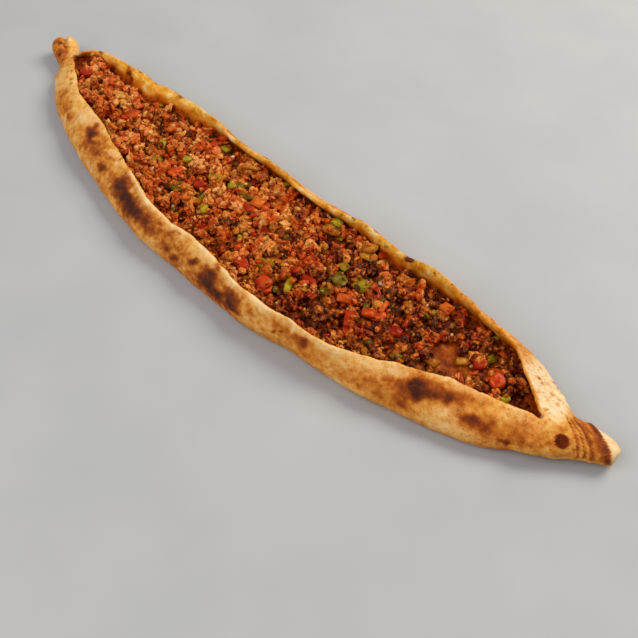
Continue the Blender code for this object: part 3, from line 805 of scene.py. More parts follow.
# %% Heap the mince up and hollow it out
HOLLOWS = (
    # along, across, radius
    (102.2, 21.6, 4.5), (114.9, 20.5, 4.2), (125.3, 20.4, 4.5), (114.7, 11.4, 4.5),
    (39.7, 25.1, 5.0), (-20.0, 29.7, 5.0), (-6.5, -8.0, 4.0), (72.0, 30.0, 4.0),
    (136.0, 30.0, 4.5), (152.0, 27.5, 3.5), (-110.0, 19.0, 4.0), (-90.0, 5.0, 4.0),
    (-45.0, 2.0, 4.0), (100.0, 2.0, 4.0), (60.0, 2.0, 3.5),
)


def hummocks(places):
    """The heaps and hollows of the mince, from about -1 to 1."""
    flat = places * np.array([1.0, 1.0, 0.0])
    heaps = 1.3 * noise_over(flat, 13.0, 23) + 0.7 * noise_over(flat, 6.0, 24)
    for x, y, radius in HOLLOWS:
        away = np.hypot(places[:, 0] / MM - x, places[:, 1] / MM - y) / radius
        heaps = heaps - 1.5 * np.exp(-away ** 2)
    return np.maximum(heaps, -1.6)


heaped = hummocks(bed_places)
print("heaps from", round(float(heaped.min()), 1), "to", round(float(heaped.max()), 1))

# %% [markdown]
# The crumbs between the loose lumps are a pattern of cells, each about four millimetres wide and
# highest in its middle. It is pushed out of the top only, as the sides lie against the dough.

# %% Roughen the top of the bed
CRUMB_CELL = 4.4
CRUMB_RELIEF = 1.1
HUMMOCK = 1.8

crumbs = np.array([noise.voronoi(Vector(spot) / (CRUMB_CELL * MM))[0][0] for spot in bed_places])
bed_push = CRUMB_RELIEF * (0.55 - crumbs) + 0.45 * noise_over(bed_places, 2.0, 22)
bed_push = (bed_push + HUMMOCK * heaped - 0.5) * (1.0 - bare)
sauced_dough = 0.35 * noise_over(bed_places, 5.0, 25) + 0.15 * noise_over(bed_places, 1.8, 26) - 0.3
bed_push += bare * sauced_dough
write_points(bed.data, bed_places + bed_normals * (bed_push * on_top)[:, None] * MM)
paint(bed.data, "bare", bare)
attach(bed, "root")
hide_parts("filling")
print("bed up to", round(read_points(bed.data)[:, 2].max() / MM, 1), "mm")

# %% [markdown]
# The bed is mince soaked in red sauce. It lies in the shade between the lumps, so its ramp is
# darker than theirs, and the sauce makes it shine. The bare patch is dough under the same sauce,
# smeared in streaks of about 6 mm, and one mask changes from one to the other.

# %% Finish the bed: mince soaked in red sauce, and a bare patch of sauced dough
tree, shader, place = new_finish("sauced_mince", bed)
bare_mask = add(tree, "ShaderNodeAttribute", {}, attribute_name="bare").outputs["Fac"]
grainy = add(tree, "ShaderNodeTexNoise",
             {"Vector": place, "Scale": per_metre(2.0), "Detail": 5.0, "Roughness": 0.7})
minced = add(tree, "ShaderNodeValToRGB", {"Fac": grainy}, stops=(
    (0.32, "#2a0c03"), (0.46, "#5c2008"), (0.58, "#8c3a10"), (0.72, "#b4602a")))
smeared = add(tree, "ShaderNodeTexNoise",
              {"Vector": place, "Scale": per_metre(6.0), "Detail": 5.0, "Roughness": 0.6})
sauced = add(tree, "ShaderNodeValToRGB", {"Fac": smeared}, stops=(
    (0.32, "#561803"), (0.46, "#7e2c06"), (0.58, "#a04c0a"), (0.72, "#c8841e")))
surface = add(tree, "ShaderNodeMix", {"Factor": bare_mask, "A": minced, "B": sauced},
              data_type="RGBA")
tree.links.new(surface.outputs[2], shader.inputs["Base Color"])
relief = add(tree, "ShaderNodeBump", {"Height": grainy, "Strength": 0.7, "Distance": 0.0012})
tree.links.new(relief.outputs["Normal"], shader.inputs["Normal"])
shader.inputs["Roughness"].default_value = 0.36
shader.inputs["IOR"].default_value = 1.45
shader.inputs["Specular IOR Level"].default_value = 0.35
shader.inputs["Specular Tint"].default_value = linear("#ffb070")
print("sauced_mince has", len(tree.nodes), "nodes")

# %% [markdown]
# ## Scattering
#
# The mince is hundreds of lumps and thousands of grains. Particles or instances would be light,
# but a joined mesh is what other programs can read. A few differing shapes are made once, then
# copied with a turn, a size and a tone of their own into one mesh for each kind.
#
# A lump starts as a ball, or as three balls that cling together. Noise makes it craggy, as meat
# that was torn by a mincer is.

# %% Make a few differing lumps of one kind
def lumps(count, detail, craggy, seed, parts=1):
    """Differing lumps of radius 1: one ball, or a few that cling together, with a craggy skin."""
    made = []
    for i in range(count):
        bm = bmesh.new()
        for part in range(parts):
            angle = 2.0 * math.pi * (part / parts + 0.13 * i)
            seat = Vector((math.cos(angle), math.sin(angle), 0.5 * math.sin(3.0 * angle + i))) * 0.5
            bmesh.ops.create_icosphere(bm, subdivisions=detail, radius=1.0 if parts == 1 else 0.72,
                                       matrix=Matrix.Translation(seat if parts > 1 else Vector()))
        for vertex in bm.verts:
            spot = vertex.co * 1.3 + Vector((i * 3.7, seed, 0.0))
            ridges = abs(noise.noise(spot * 2.1)) * 2.0 - 0.5
            vertex.co *= 1.0 + craggy * (noise.noise(spot) + 0.6 * ridges)
        bmesh.ops.triangulate(bm, faces=bm.faces)
        made.append(as_arrays(bm))
    return made


def as_arrays(bm):
    """The points and triangles of a bmesh, which is then let go."""
    bm.verts.ensure_lookup_table()
    places = np.array([vertex.co[:] for vertex in bm.verts])
    faces = np.array([[vertex.index for vertex in face.verts] for face in bm.faces])
    bm.free()
    return places, faces


# %% [markdown]
# Joining objects one by one would be slow. The points and triangles of all copies are stacked up
# as arrays instead, and one mesh is made of them. Each copy's tone is kept on its points. Points
# that would come out under the bread are lifted to the lowest height for crumbs.

# %% Join many copies into one mesh
def join_copies(name, shapes, layouts, smooth=True):
    """One mesh of many copies. A layout is (shape, place, turn, size in mm, tone)."""
    places, faces, tones, count = [], [], [], 0
    for shape, spot, turn, size, tone_value in layouts:
        shape_places, shape_faces = shapes[shape]
        moved = (shape_places * np.array(size)) @ np.array(turn).T * MM + np.array(spot)
        moved[:, 2] = np.maximum(moved[:, 2], bed_floor)
        places.append(moved)
        faces.append(shape_faces + count)
        tones.append(np.full(len(moved), tone_value))
        count += len(moved)
    mesh = bpy.data.meshes.new(name)
    mesh.from_pydata(np.concatenate(places).tolist(), [], np.concatenate(faces).tolist())
    if smooth:
        mesh.shade_smooth()
    paint(mesh, "tone", np.concatenate(tones))
    piece = bpy.data.objects.new(name, mesh)
    bpy.context.scene.collection.objects.link(piece)
    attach(piece, "root")
    print(name, "has", len(layouts), "copies and", len(mesh.polygons), "triangles")
    return piece


# %% [markdown]
# Lumps and grains lie any way up, as they have no flat side. Cut vegetables lie nearly flat.

# %% Turn a piece by chance
def any_turn(dice):
    """A turn in any direction."""
    axis = Vector((dice.gauss(0, 1), dice.gauss(0, 1), dice.gauss(0, 1))).normalized()
    return Matrix.Rotation(dice.uniform(0.0, 2.0 * math.pi), 3, axis)


def flat_turn(dice, tilt):
    """A turn round the upright axis, tipped by up to `tilt` degrees."""
    spin = Matrix.Rotation(dice.uniform(0.0, 2.0 * math.pi), 3, "Z")
    tip = Matrix.Rotation(math.radians(dice.uniform(-tilt, tilt)), 3, "X")
    return spin @ tip @ Matrix.Rotation(math.radians(dice.uniform(-tilt, tilt)), 3, "Y")


# %% [markdown]
# A simulation could let every piece fall and settle, but it is slow and crumbs don't roll. Here
# each piece is dropped straight down at a place set by chance and stays where it lands. A place
# is refused where the piece would crowd the others of its kind, touch a wall, lie on the bare
# patch or cover a vegetable. The largest pieces come first, and a grid of cells keeps the search
# for neighbours short.

# %% Find places for a kind on what lies there already
FILLED_LENGTH = (-200.0, 184.0)
FILLED_WIDTH = (-46.0, 48.0)
DROP_HEIGHT = 19.0
GRID_CELL = 8
TRIES_FOR_EACH = 14


def drop(ground, dice, count, sizes, crowding, lift, clear_of=None, clearance=0.7, on_patch=0.0,
         on_cuts=0.0, length=FILLED_LENGTH, wall_gap=1.02):
    """Drops pieces on the ground from above, big ones first, clear of walls and of `clear_of`."""
    cells = {}
    found = []
    for _ in range(count * TRIES_FOR_EACH):
        if len(found) == count:
            break
        radius = sizes[0] + (sizes[1] - sizes[0]) * len(found) / count
        radius *= dice.uniform(0.85, 1.15)
        x, y = dice.uniform(*length), dice.uniform(*FILLED_WIDTH)
        cell = (int(x // GRID_CELL), int(y // GRID_CELL))
        near = [other for i in (-1, 0, 1) for j in (-1, 0, 1)
                for other in cells.get((cell[0] + i, cell[1] + j), ())]
        if any(math.hypot(x - o[0], y - o[1]) < (radius + o[2]) * crowding for o in near):
            continue
        hit = landing(ground, x, y, DROP_HEIGHT)
        if hit is None:
            continue
        if bareness(np.array([hit]))[0] > dice.uniform(0.3, 0.7) and dice.random() > on_patch:
            continue
        spot = hit + Vector((0.0, 0.0, lift * radius * MM))
        if crust_tree.find_nearest(spot, radius * wall_gap * MM)[0] is not None:
            continue
        if (clear_of and dice.random() > on_cuts
                and clear_of.find_nearest(spot, radius * clearance * MM)[0] is not None):
            continue
        cells.setdefault(cell, []).append((x, y, radius))
        found.append((spot, radius))
    return found


# %% [markdown]
# ## The cut vegetables
#
# The largest pieces of red and green pepper and of onion are solids of their own. Each keeps
# its form and gets what the solid lacks: a fine skin, the dents of cooked flesh and a tone that
# differs from piece to piece. Cloth or sculpting would be too much for pieces of a centimetre.

# %% Detail the cut vegetables over their solids
cuts = {}
for name in sorted(frame["nodes"]):
    kind = name.rsplit("_", 1)[0]
    if kind not in ("red_pepper", "green_pepper", "onion"):
        continue
    piece = welded_copy(name, f"{name}_cut")
    resurface(piece, cell=0.5, smoothing=2)
    number = int(name.rsplit("_", 1)[1])
    places = read_points(piece.data)
    dents = 0.75 * noise_over(places, 4.2, number) + 0.34 * noise_over(places, 1.7, number + 40)
    write_points(piece.data, places + read_points(piece.data, "normal") * dents[:, None] * MM)
    # onion's tones are shifted by a half, which makes the first cut of onion the lightest: partly a
    # painted highlight
    shade = number * 0.381 + (0.5 if kind == "onion" else 0.0)
    paint(piece.data, "tone", np.full(len(places), shade % 1.0))
    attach(piece, "root")
    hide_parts(name)
    cuts.setdefault(kind, []).append(piece)
print({kind: len(pieces) for kind, pieces in cuts.items()})

# %% [markdown]
# ## The mince and the small cuts
#
# A lump of mince is four to ten millimetres of meat that clings together, with finer grains
# on it. The lumps are dropped first, then the small cuts of vegetable, and the grains last, so
# that they lie over everything as they do in the pan. The clearest lumps have their places in a
# list, and the others are dropped by chance.

# %% List the clearest lumps of mince
KNOWN_LUMPS = (
    # along, across, half length, half width, half height, turn in degrees
    (23.9, -3.5, 9.0, 2.5, 2.0, -23), (85.7, 24.7, 5.0, 4.4, 3.0, 20),
    (112.9, 30.7, 5.2, 4.6, 3.0, 60), (128.9, 24.7, 4.8, 4.4, 3.0, 0),
    (145.0, 32.5, 4.4, 4.0, 2.6, 30), (131.2, 40.0, 4.0, 3.4, 2.6, 10),
    (-107.0, 10.0, 5.0, 3.6, 2.8, 70), (-118.0, 2.0, 5.4, 3.6, 2.6, 40),
    (-57.0, 16.0, 4.6, 4.0, 2.8, 0), (-36.0, -10.0, 4.4, 4.2, 2.6, 0),
    (52.0, 9.0, 6.0, 3.4, 2.6, -60), (30.0, 22.0, 5.0, 3.6, 2.6, 45),
)
print(len(KNOWN_LUMPS), "lumps with a place")

# %% [markdown]
# Every crumb has one number for its tone, from dark to light. Chance gives most of it. The rest is
# painted shade: crumbs on a heap are lighter and crumbs in a hollow darker, and a gentle step along
# the bread makes the mince darker towards the fan.

# %% Drop the lumps of mince
LUMPS = 1150
LUMP_SIZES = (5.3, 2.2)
LUMP_SHAPES = 14
# painted shade: the mince is made darker by this much between these places along the bread
SHADED_END = (15.0, 68.0)
END_SHADE = 0.40


def crumb_tone_and_shade(spot, spread, base, shade_of_hollows):
    """The tone of one crumb by chance, with painted shade in the hollows and towards the fan."""
    # painted shade: a crumb in a hollow is made darker, one on a heap lighter
    heap = float(hummocks(np.array([spot]))[0])
    tone_value = spread * dice.random() + base + shade_of_hollows * heap
    return min(max(tone_value - END_SHADE * float(rise(*SHADED_END, spot.x / MM)), 0.0), 1.0)


dice = random.Random(SEED)
cut_meshes = [piece.data for pieces in cuts.values() for piece in pieces]
cut_tree = tree_of(*cut_meshes)
ground = tree_of(bed.data)
lump_shapes = lumps(7, 2, 0.55, 5.0) + lumps(7, 1, 0.50, 8.0, parts=3)
lump_layouts = []
for x, y, *halves, turn in KNOWN_LUMPS:
    spot = landing(ground, x, y, DROP_HEIGHT) + Vector((0, 0, 0.9 * MM))
    spin = Matrix.Rotation(math.radians(turn), 3, "Z")
    # the listed lumps get the same painted shade towards the fan
    lump_layouts.append((dice.randrange(LUMP_SHAPES), spot, spin, halves,
                         0.66 - END_SHADE * float(rise(*SHADED_END, x))))
for spot, radius in drop(ground, dice, LUMPS, LUMP_SIZES, crowding=0.64, lift=0.15,
                         clear_of=cut_tree, on_cuts=0.06):
    size = [radius * dice.uniform(0.9, 1.3), radius * dice.uniform(0.65, 1.0),
            radius * dice.uniform(0.5, 0.85)]
    spot = spot + Vector((0, 0, dice.uniform(-0.7, 0.9))) * MM
    tone_value = crumb_tone_and_shade(spot, 0.66, 0.37, 0.44)
    lump_layouts.append((dice.randrange(LUMP_SHAPES), spot, any_turn(dice), size, tone_value))
lump_piece = join_copies("mince_lumps", lump_shapes, lump_layouts, smooth=False)

# %% [markdown]
# A small cut of pepper is a cube from a knife, whose corners have gone soft in the heat. A cube
# with one more row of points along each edge is enough for that: its corners are drawn in, noise
# makes each one differ, and its middle is raised or lowered so that it curls.

# %% Shape small cuts: curled cubes
def small_cuts(count, seed):
    """Differing cut cubes two units long, with rounded edges and a slight curl."""
    made = []
    for i in range(count):
        bm = bmesh.new()
        bmesh.ops.create_cube(bm, size=2.0)
        bmesh.ops.subdivide_edges(bm, edges=bm.edges, cuts=1, use_grid_fill=True)
        for vertex in bm.verts:
            corner = vertex.co.copy()
            vertex.co *= 1.0 - 0.13 * max(corner.length - 1.0, 0.0)
            vertex.co *= 1.0 + 0.25 * noise.noise(corner * 0.8 + Vector((i * 2.9, seed, 1.0)))
            vertex.co.z += 0.35 * (1.0 - corner.x ** 2) * ((i % 3) - 1)
        bmesh.ops.triangulate(bm, faces=bm.faces)
        made.append(as_arrays(bm))
    return made


# %% [markdown]
# Some small cuts stand out enough to get their places from a list: a bar of pepper by the rim,
# onion that shines through, a strip of tomato. The others are strewn. The first list says how
# many of each kind, and how large.

# %% List the small cuts of pepper, tomato and onion
SMALL_CUTS = {
    # name: count, half length, half width, half thickness
    "red_pepper_dice": (62, 2.6, 1.4, 0.9),
    "tomato_shreds": (120, 3.0, 1.2, 0.7),
    "green_pepper_dice": (38, 2.3, 1.4, 0.9),
    "onion_bits": (64, 2.3, 1.5, 0.6),
}
KNOWN_CUTS = {
    # along, across, half length, half width, turn in degrees
    "red_pepper_dice": (
        (-14.5, -22.5, 4.5, 2.4, -60), (116.5, 1.4, 3.2, 2.8, 20), (93.6, -10.5, 5.5, 3.0, -55),
        (-28.7, 31.6, 4.0, 2.6, 10), (-4.4, 7.2, 4.2, 2.4, -30), (42.5, -26.1, 4.2, 3.8, 0),
        (56, -2.5, 4.6, 2.4, -20), (97, 1.0, 4.0, 2.6, 30), (156.9, 22.8, 4.4, 3.0, 20),
        (42.4, 43.5, 4.5, 1.6, 0), (90.7, 13.5, 4.4, 2.2, -30)),
    "tomato_shreds": (
        (-8.9, 16.1, 4.0, 3.4, 10), (169.2, 23.3, 4.6, 3.6, 40), (-128.3, 13.3, 4.0, 3.6, 20),
        (-100.6, 23.2, 4.6, 3.0, -70), (124, 35, 3.5, 2.8, 0), (81.3, -2.5, 4.0, 2.6, 30)),
    "green_pepper_dice": (
        (-17.6, 15.0, 4.6, 2.4, 40), (-26.9, -11.0, 3.4, 2.4, -40), (62.3, 17.1, 3.4, 2.8, 0),
        (70.5, -5.8, 3.4, 2.2, 40), (126.4, -9.6, 2.8, 2.2, 0), (159.5, 28.5, 4.0, 2.2, 70),
        (78.8, 14.6, 4.6, 4.0, 0), (-68.1, 10, 2.8, 2.2, 30), (34.7, 40.5, 3.4, 2.6, 0),
        (110.9, -14.7, 2.6, 2.0, 0), (-63, 37, 3.4, 2.4, 0), (-31.9, 15.4, 2.8, 2.2, 50)),
    "onion_bits": (
        (33.2, 38.0, 5.0, 3.2, -20), (62.6, 38.5, 4.6, 3.6, 30), (93.2, 36, 5.0, 3.6, 0),
        (-34.9, 33, 5.6, 1.2, 30), (140, 5, 3.6, 3.0, 0), (151, 17, 3.4, 2.2, 40)),
}
print(sum(len(places) for places in KNOWN_CUTS.values()), "small cuts with a place")

# %% [markdown]
# Each kind becomes one mesh. A cut from the list is turned as the list says and tipped a
# little. One that is strewn is sunk slightly into the mince, so that none seems to hover.

# %% Lay out the small cuts
CUT_RADII = (1.25, 0.6)
CUT_SHAPES = 9
CUT_TILT = 35.0
KNOWN_THICKNESS = 1.1

ground = tree_of(bed.data, lump_piece.data, *cut_meshes)
cut_shapes = small_cuts(CUT_SHAPES, 2.0)
small = {}
for name, (count, *halves) in SMALL_CUTS.items():
    layouts = []
    for x, y, long_half, wide_half, turn in KNOWN_CUTS[name]:
        spot = landing(ground, x, y, DROP_HEIGHT) + Vector((0, 0, 0.7 * MM))
        spin = Matrix.Rotation(math.radians(turn), 3, "Z")
        spin = spin @ Matrix.Rotation(dice.uniform(-0.3, 0.3), 3, "X")
        layouts.append((dice.randrange(CUT_SHAPES), spot, spin,
                        [long_half, wide_half, KNOWN_THICKNESS], dice.random()))
    for spot, radius in drop(ground, dice, count, CUT_RADII, crowding=2.0, lift=0.9,
                             clear_of=cut_tree):
        size = [half * radius * dice.uniform(0.8, 1.2) for half in halves]
        spot = spot - Vector((0, 0, 0.6 * MM))
        layouts.append((dice.randrange(CUT_SHAPES), spot, flat_turn(dice, CUT_TILT), size,
                        dice.random()))
    small[name] = join_copies(name, cut_shapes, layouts)

# %% [markdown]
# Grains are what is left when a lump falls apart. They gather in some places and are rare in
# others, so a slow noise refuses many of them. Few may lie on the vegetables. The pinched ends
# of the opening are too narrow for the walls' usual gap, so they get small grains of their own.

# %% Drop the grains of mince
GRAINS = 2500
GRAIN_SIZES = (2.6, 0.9)
GRAIN_SHAPES = 10
GRAINY_PATCH = 15.0
CORNERS = ((-208.0, -192.0), (180.0, 202.0))
CORNER_GRAINS = 60

small_meshes = [piece.data for piece in small.values()]
ground = tree_of(bed.data, lump_piece.data, *cut_meshes, *small_meshes)
small_tree = tree_of(*cut_meshes, *small_meshes)
grain_shapes = lumps(GRAIN_SHAPES, 1, 0.55, 9.0)
grain_layouts = []
for spot, radius in drop(ground, dice, GRAINS, GRAIN_SIZES, crowding=0.46, lift=0.1,
                         clear_of=small_tree, clearance=0.8, on_patch=0.03, on_cuts=0.16):
    if noise.noise(spot / (GRAINY_PATCH * MM)) < dice.uniform(-0.45, -0.05):
        continue
    size = [radius * dice.uniform(0.9, 1.7), radius * dice.uniform(0.6, 1.0),
            radius * dice.uniform(0.5, 1.0)]
    # the grains take the same painted shade as the lumps
    tone_value = crumb_tone_and_shade(spot, 0.86, 0.25, 0.36)
    grain_layouts.append((dice.randrange(GRAIN_SHAPES), spot, any_turn(dice), size, tone_value))
for corner in CORNERS:
    for spot, radius in drop(crust_tree, dice, CORNER_GRAINS, (1.9, 0.8), crowding=0.55, lift=0.55,
                             clear_of=small_tree, clearance=0.8, length=corner, wall_gap=0.5):
        if spot.z < FILLING_TOP * MM:
            size = [radius * dice.uniform(0.8, 1.4), radius * dice.uniform(0.6, 1.0), radius * 0.7]
            grain_layouts.append((dice.randrange(GRAIN_SHAPES), spot, flat_turn(dice, 30.0), size,
                                  0.4 * dice.random()))
grain_piece = join_copies("mince_grains", grain_shapes, grain_layouts, smooth=False)

# %% [markdown]
# A few specks differ from the mince: golden grains of fat, pale ones that caught no colour, and
# nearly black bits. The strewn black bits are charred meat, and the listed ones are painted shade
# as well, put on dark spots of shade in the mince. They are the grains' shapes with smooth shading.
# Most of the pale ones and a cluster of the black ones have their places in a list.

# %% Drop the fine specks
SPECKS = (
    # name, count, largest and smallest radius
    ("golden_grains", 170, (1.3, 0.6)),
    ("pale_specks", 3, (0.9, 0.6)),
    ("charred_bits", 14, (1.7, 0.8)),
)
KNOWN_SPECKS = {
    # along, across, half length, half width
    "golden_grains": ((85.0, 23.8, 1.6, 1.5), (-99.0, 6.0, 1.6, 1.5), (-84.0, 20.0, 1.5, 1.4)),
    "pale_specks": ((-53.5, 35.0, 1.9, 1.6), (-57.1, -20.8, 1.8, 1.1), (-12.8, 28.0, 1.5, 1.8),
                    (85.9, 22.8, 1.6, 1.4), (99.3, 44.0, 1.4, 2.0), (-76.4, -11.0, 1.2, 1.0),
                    (-84.8, -16.5, 1.2, 1.0), (-14.0, -2.0, 1.2, 1.6)),
    # painted shade: these black bits stand on dark spots of shade in the mince
    "charred_bits": ((-39.5, -6.6, 1.9, 1.3), (-37.0, -8.2, 1.6, 1.2), (-35.6, -6.4, 1.1, 1.4),
                     (-4.2, 4.6, 1.2, 1.5), (-3.6, 1.6, 1.4, 1.2)),
}

specks = {}
for name, count, sizes in SPECKS:
    layouts = []
    for x, y, long_half, wide_half in KNOWN_SPECKS[name]:
        spot = landing(ground, x, y, DROP_HEIGHT) + Vector((0, 0, 0.5 * MM))
        layouts.append((dice.randrange(GRAIN_SHAPES), spot, flat_turn(dice, 10.0),
                        [long_half, wide_half, 1.1], dice.random()))
    for spot, radius in drop(ground, dice, count, sizes, crowding=1.0, lift=0.5):
        size = [radius * dice.uniform(0.7, 1.3) for _ in range(3)]
        layouts.append((dice.randrange(GRAIN_SHAPES), spot, any_turn(dice), size, dice.random()))
    specks[name] = join_copies(name, grain_shapes, layouts)

# %% [markdown]
# ## The finishes of the filling
#
# The material is minced meat, browned in a pan. It is rough meat under a thin film of fat, so it
# shines in small points. Its colour comes from each lump's tone and from noise. The tone carries
# painted shade in the hollows and towards the fan, and the ramp's lightest stops are partly painted
# highlights. Real fibres are under half a millimetre, too fine to show here, so they are drawn
# about 2 mm apart. Red oil from the peppers has stained it in patches of about a centimetre, as a
# thin layer that is multiplied.

# %% Finish the mince: browned meat under a film of fat
tree, shader, place = new_finish("browned_mince", lump_piece)
tone_value = add(tree, "ShaderNodeAttribute", {}, attribute_name="tone").outputs["Fac"]
fibres = add(tree, "ShaderNodeTexNoise",
             {"Vector": place, "Scale": per_metre(2.2), "Detail": 4.0, "Roughness": 0.65})
shifted = add(tree, "ShaderNodeMapRange", {"Value": tone_value, "To Min": -0.52, "To Max": 0.02})
mixed = add(tree, "ShaderNodeMath", {0: fibres, 1: 1.45, 2: shifted}, operation="MULTIPLY_ADD")
# the lightest stops are partly painted highlights, besides the lamps' own
meat = add(tree, "ShaderNodeValToRGB", {"Fac": mixed}, stops=(
    (0.16, "#240a03"), (0.32, "#702a09"), (0.45, "#b05511"), (0.56, "#d27c22"), (0.70, "#e69a44"),
    (0.88, "#f2b872")))
oiled = add(tree, "ShaderNodeTexNoise",
            {"Vector": place, "Scale": per_metre(10.0), "Detail": 3.0, "Roughness": 0.55})
oil_mask = add(tree, "ShaderNodeMapRange",
               {"Value": oiled, "From Min": 0.40, "From Max": 0.60, "To Max": 0.9})
reddened = add(tree, "ShaderNodeMix", {"Factor": oil_mask, "A": meat, "B": "#e8843c"},
               data_type="RGBA", blend_type="MULTIPLY")
tree.links.new(reddened.outputs[2], shader.inputs["Base Color"])
relief = add(tree, "ShaderNodeBump", {"Height": fibres, "Strength": 0.9, "Distance": 0.0011})
tree.links.new(relief.outputs["Normal"], shader.inputs["Normal"])
shader.inputs["Roughness"].default_value = 0.32
shader.inputs["Specular IOR Level"].default_value = 0.46
shader.inputs["Specular Tint"].default_value = linear("#ffb884")
grain_piece.data.materials.append(lump_piece.data.materials[0])
print("browned_mince has", len(tree.nodes), "nodes")

# %% [markdown]
# Cooked peppers, tomato and onion are wet flesh: smooth, saturated and a little uneven, with some
# brown juice on them. One function makes this finish for all kinds, as they differ only in their
# colours, in how wet they are and in how fine their grain is.

# %% Make a finish of wet flesh
def wet_flesh(name, pieces, stops, roughness, grain=2.0):
    """Cooked flesh of one kind on several pieces, from its dark to its light colour."""
    tree, shader, place = new_finish(name, pieces[0])
    for piece in pieces[1:]:
        piece.data.materials.clear()
        piece.data.materials.append(pieces[0].data.materials[0])
    tone_value = add(tree, "ShaderNodeAttribute", {}, attribute_name="tone").outputs["Fac"]
    uneven = add(tree, "ShaderNodeTexNoise",
                 {"Vector": place, "Scale": per_metre(grain), "Detail": 4.0, "Roughness": 0.6})
    spread = add(tree, "ShaderNodeMapRange",
                 {"Value": uneven, "From Min": 0.3, "From Max": 0.7, "To Max": 0.45})
    mixed = add(tree, "ShaderNodeMath", {0: tone_value, 1: 0.55, 2: spread},
                operation="MULTIPLY_ADD")
    flesh = add(tree, "ShaderNodeValToRGB", {"Fac": mixed}, stops=stops)
    smeared = add(tree, "ShaderNodeTexNoise",
                  {"Vector": place, "Scale": per_metre(4.0), "Detail": 4.0, "Roughness": 0.65})
    smear = add(tree, "ShaderNodeMapRange",
                {"Value": smeared, "From Min": 0.46, "From Max": 0.62, "To Max": 0.8})
    browned = add(tree, "ShaderNodeMix", {"Factor": smear, "A": flesh, "B": "#c07c48"},
                  data_type="RGBA", blend_type="MULTIPLY")
    tree.links.new(browned.outputs[2], shader.inputs["Base Color"])
    relief = add(tree, "ShaderNodeBump", {"Height": uneven, "Strength": 0.4, "Distance": 0.0006})
    tree.links.new(relief.outputs["Normal"], shader.inputs["Normal"])
    shader.inputs["Roughness"].default_value = roughness
    shader.inputs["IOR"].default_value = 1.40
    shader.inputs["Specular IOR Level"].default_value = 0.40
    shader.inputs["Specular Tint"].default_value = linear("#ffc090")


# %% [markdown]
# Cooked red pepper keeps its colour and shines most at its skin. Tomato has gone orange in the fat.
# Green pepper turns olive when it is fried, and only its lightest pieces stay lime. Onion goes
# glassy and takes up the colour of the sauce; its lightest stop, which the first cut of onion
# reaches, is partly a painted highlight.

# %% Finish the vegetables
wet_flesh("cooked_red_pepper", cuts["red_pepper"] + [small["red_pepper_dice"]],
          ((0.10, "#641003"), (0.40, "#a82407"), (0.72, "#c8440f"), (1.0, "#d9762c")), 0.30)
wet_flesh("stewed_tomato", [small["tomato_shreds"]],
          ((0.10, "#8e2c08"), (0.45, "#c04a10"), (0.75, "#d86c1e"), (1.0, "#e3903c")), 0.30)
wet_flesh("cooked_green_pepper", cuts["green_pepper"] + [small["green_pepper_dice"]],
          ((0.05, "#302a04"), (0.35, "#665806"), (0.66, "#9c8810"), (0.98, "#d0c03e")), 0.32)
# the onion's lightest stop is partly a painted highlight
wet_flesh("softened_onion", cuts["onion"] + [small["onion_bits"]],
          ((0.05, "#84400a"), (0.40, "#ac6614"), (0.68, "#c98a2c"), (0.90, "#ecc874")), 0.26)
print("finishes so far:", len(bpy.data.materials))

# %% [markdown]
# The specks take the same finish with a finer grain. Golden and pale fat are waxy and catch the
# light, and the black bits, charred meat and painted shade, are nearly black and dull.

# %% Finish the specks
wet_flesh("golden_fat", [specks["golden_grains"]],
          ((0.05, "#a8642a"), (0.50, "#cc9148"), (1.0, "#e6bd78")), 0.30, grain=1.0)
wet_flesh("pale_fat", [specks["pale_specks"]],
          ((0.05, "#cfb890"), (0.60, "#e2d2b2"), (1.0, "#efe4cc")), 0.25, grain=1.0)
wet_flesh("char_and_shade_finish", [specks["charred_bits"]],
          ((0.05, "#20100a"), (0.60, "#3a1c10"), (1.0, "#54301c")), 0.45, grain=1.0)
print("finishes in all:", len(bpy.data.materials))

# %% [markdown]
# ## The floor and the light
#
# The bread lies on a pale, matt plaster floor. A plain plane is enough for it, just below the
# bread so that the two don't flicker through each other. Slow noise clouds its grey a little.

# %% Lay the floor
FLOOR_REACH = 4.0
FLOOR_HEIGHT = -0.0002

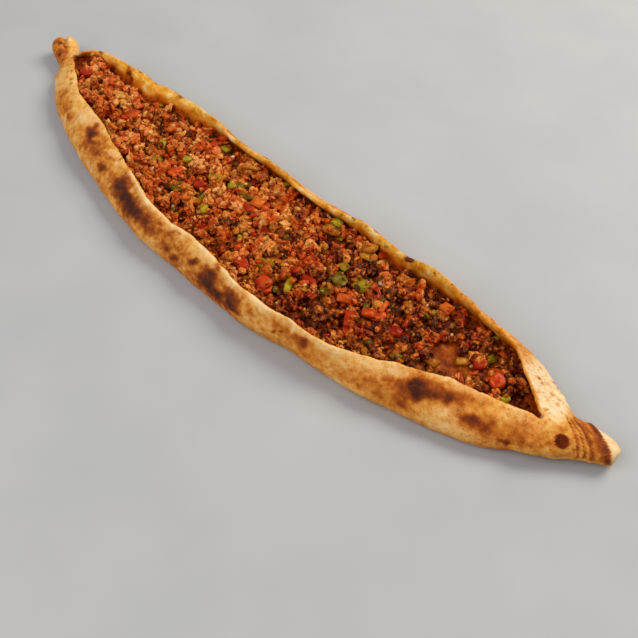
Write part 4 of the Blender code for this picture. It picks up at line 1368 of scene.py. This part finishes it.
bm = bmesh.new()
bmesh.ops.create_grid(bm, x_segments=1, y_segments=1, size=FLOOR_REACH)
floor_mesh = bpy.data.meshes.new("floor")
bm.to_mesh(floor_mesh)
bm.free()
floor = bpy.data.objects.new("floor", floor_mesh)
bpy.context.scene.collection.objects.link(floor)
floor.location.z = FLOOR_HEIGHT
floor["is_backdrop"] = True
tree, shader, place = new_finish("pale_plaster", floor)
clouded = add(tree, "ShaderNodeTexNoise",
              {"Vector": place, "Scale": per_metre(90.0), "Detail": 4.0, "Roughness": 0.5})
shade = add(tree, "ShaderNodeValToRGB", {"Fac": clouded},
            stops=((0.30, "#abacad"), (0.70, "#b3b3b2")))
tree.links.new(shade.outputs["Color"], shader.inputs["Base Color"])
shader.inputs["Roughness"].default_value = 0.85
print("floor of", 2.0 * FLOOR_REACH, "m")

# %% [markdown]
# The light is that of a soft studio. A large lamp stands behind the bread, a wide dim one in
# front, and the air itself gives the rest, so that shadows are soft and fall towards the viewer.
# One hard lamp would be simpler, but it would turn every crumb's shadow black.

# %% Hang the lamps
MIDDLE = (0.0, 0.0, 0.0)
AIR_LIGHT = 0.34


def lamp(name, place, target, size, power, screen):
    """A square softbox at a place, turned towards a target."""
    data = bpy.data.lights.new(name, "AREA")
    data.shape = "SQUARE"
    data.size = size
    data.energy = power
    data.color = linear(screen)[:3]
    made = bpy.data.objects.new(name, data)
    made.location = place
    made.rotation_euler = (Vector(target) - Vector(place)).to_track_quat("-Z", "Y").to_euler()
    bpy.context.scene.collection.objects.link(made)


lamp("key", (0.25, 0.85, 0.95), MIDDLE, 0.7, 14.0, "#fff8ee")
lamp("fill", (-0.2, -1.0, 1.0), MIDDLE, 1.2, 12.5, "#fbfcff")
world = bpy.data.worlds.new("studio")
world.use_nodes = True
air = world.node_tree.nodes["Background"]
air.inputs["Color"].default_value = linear("#f2f5fa")
air.inputs["Strength"].default_value = AIR_LIGHT
bpy.context.scene.world = world
print(len(bpy.data.lights), "lamps")

# %% [markdown]
# ## The finished size
#
# The finished model is measured like the solids were, so that the two sizes can be compared.

# %% Measure the finished model
finished_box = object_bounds()
sizes = {"solids": [[round(v, 6) for v in corner] for corner in solids_box],
         "finished": [[round(v, 6) for v in corner] for corner in finished_box]}
print(sizes)
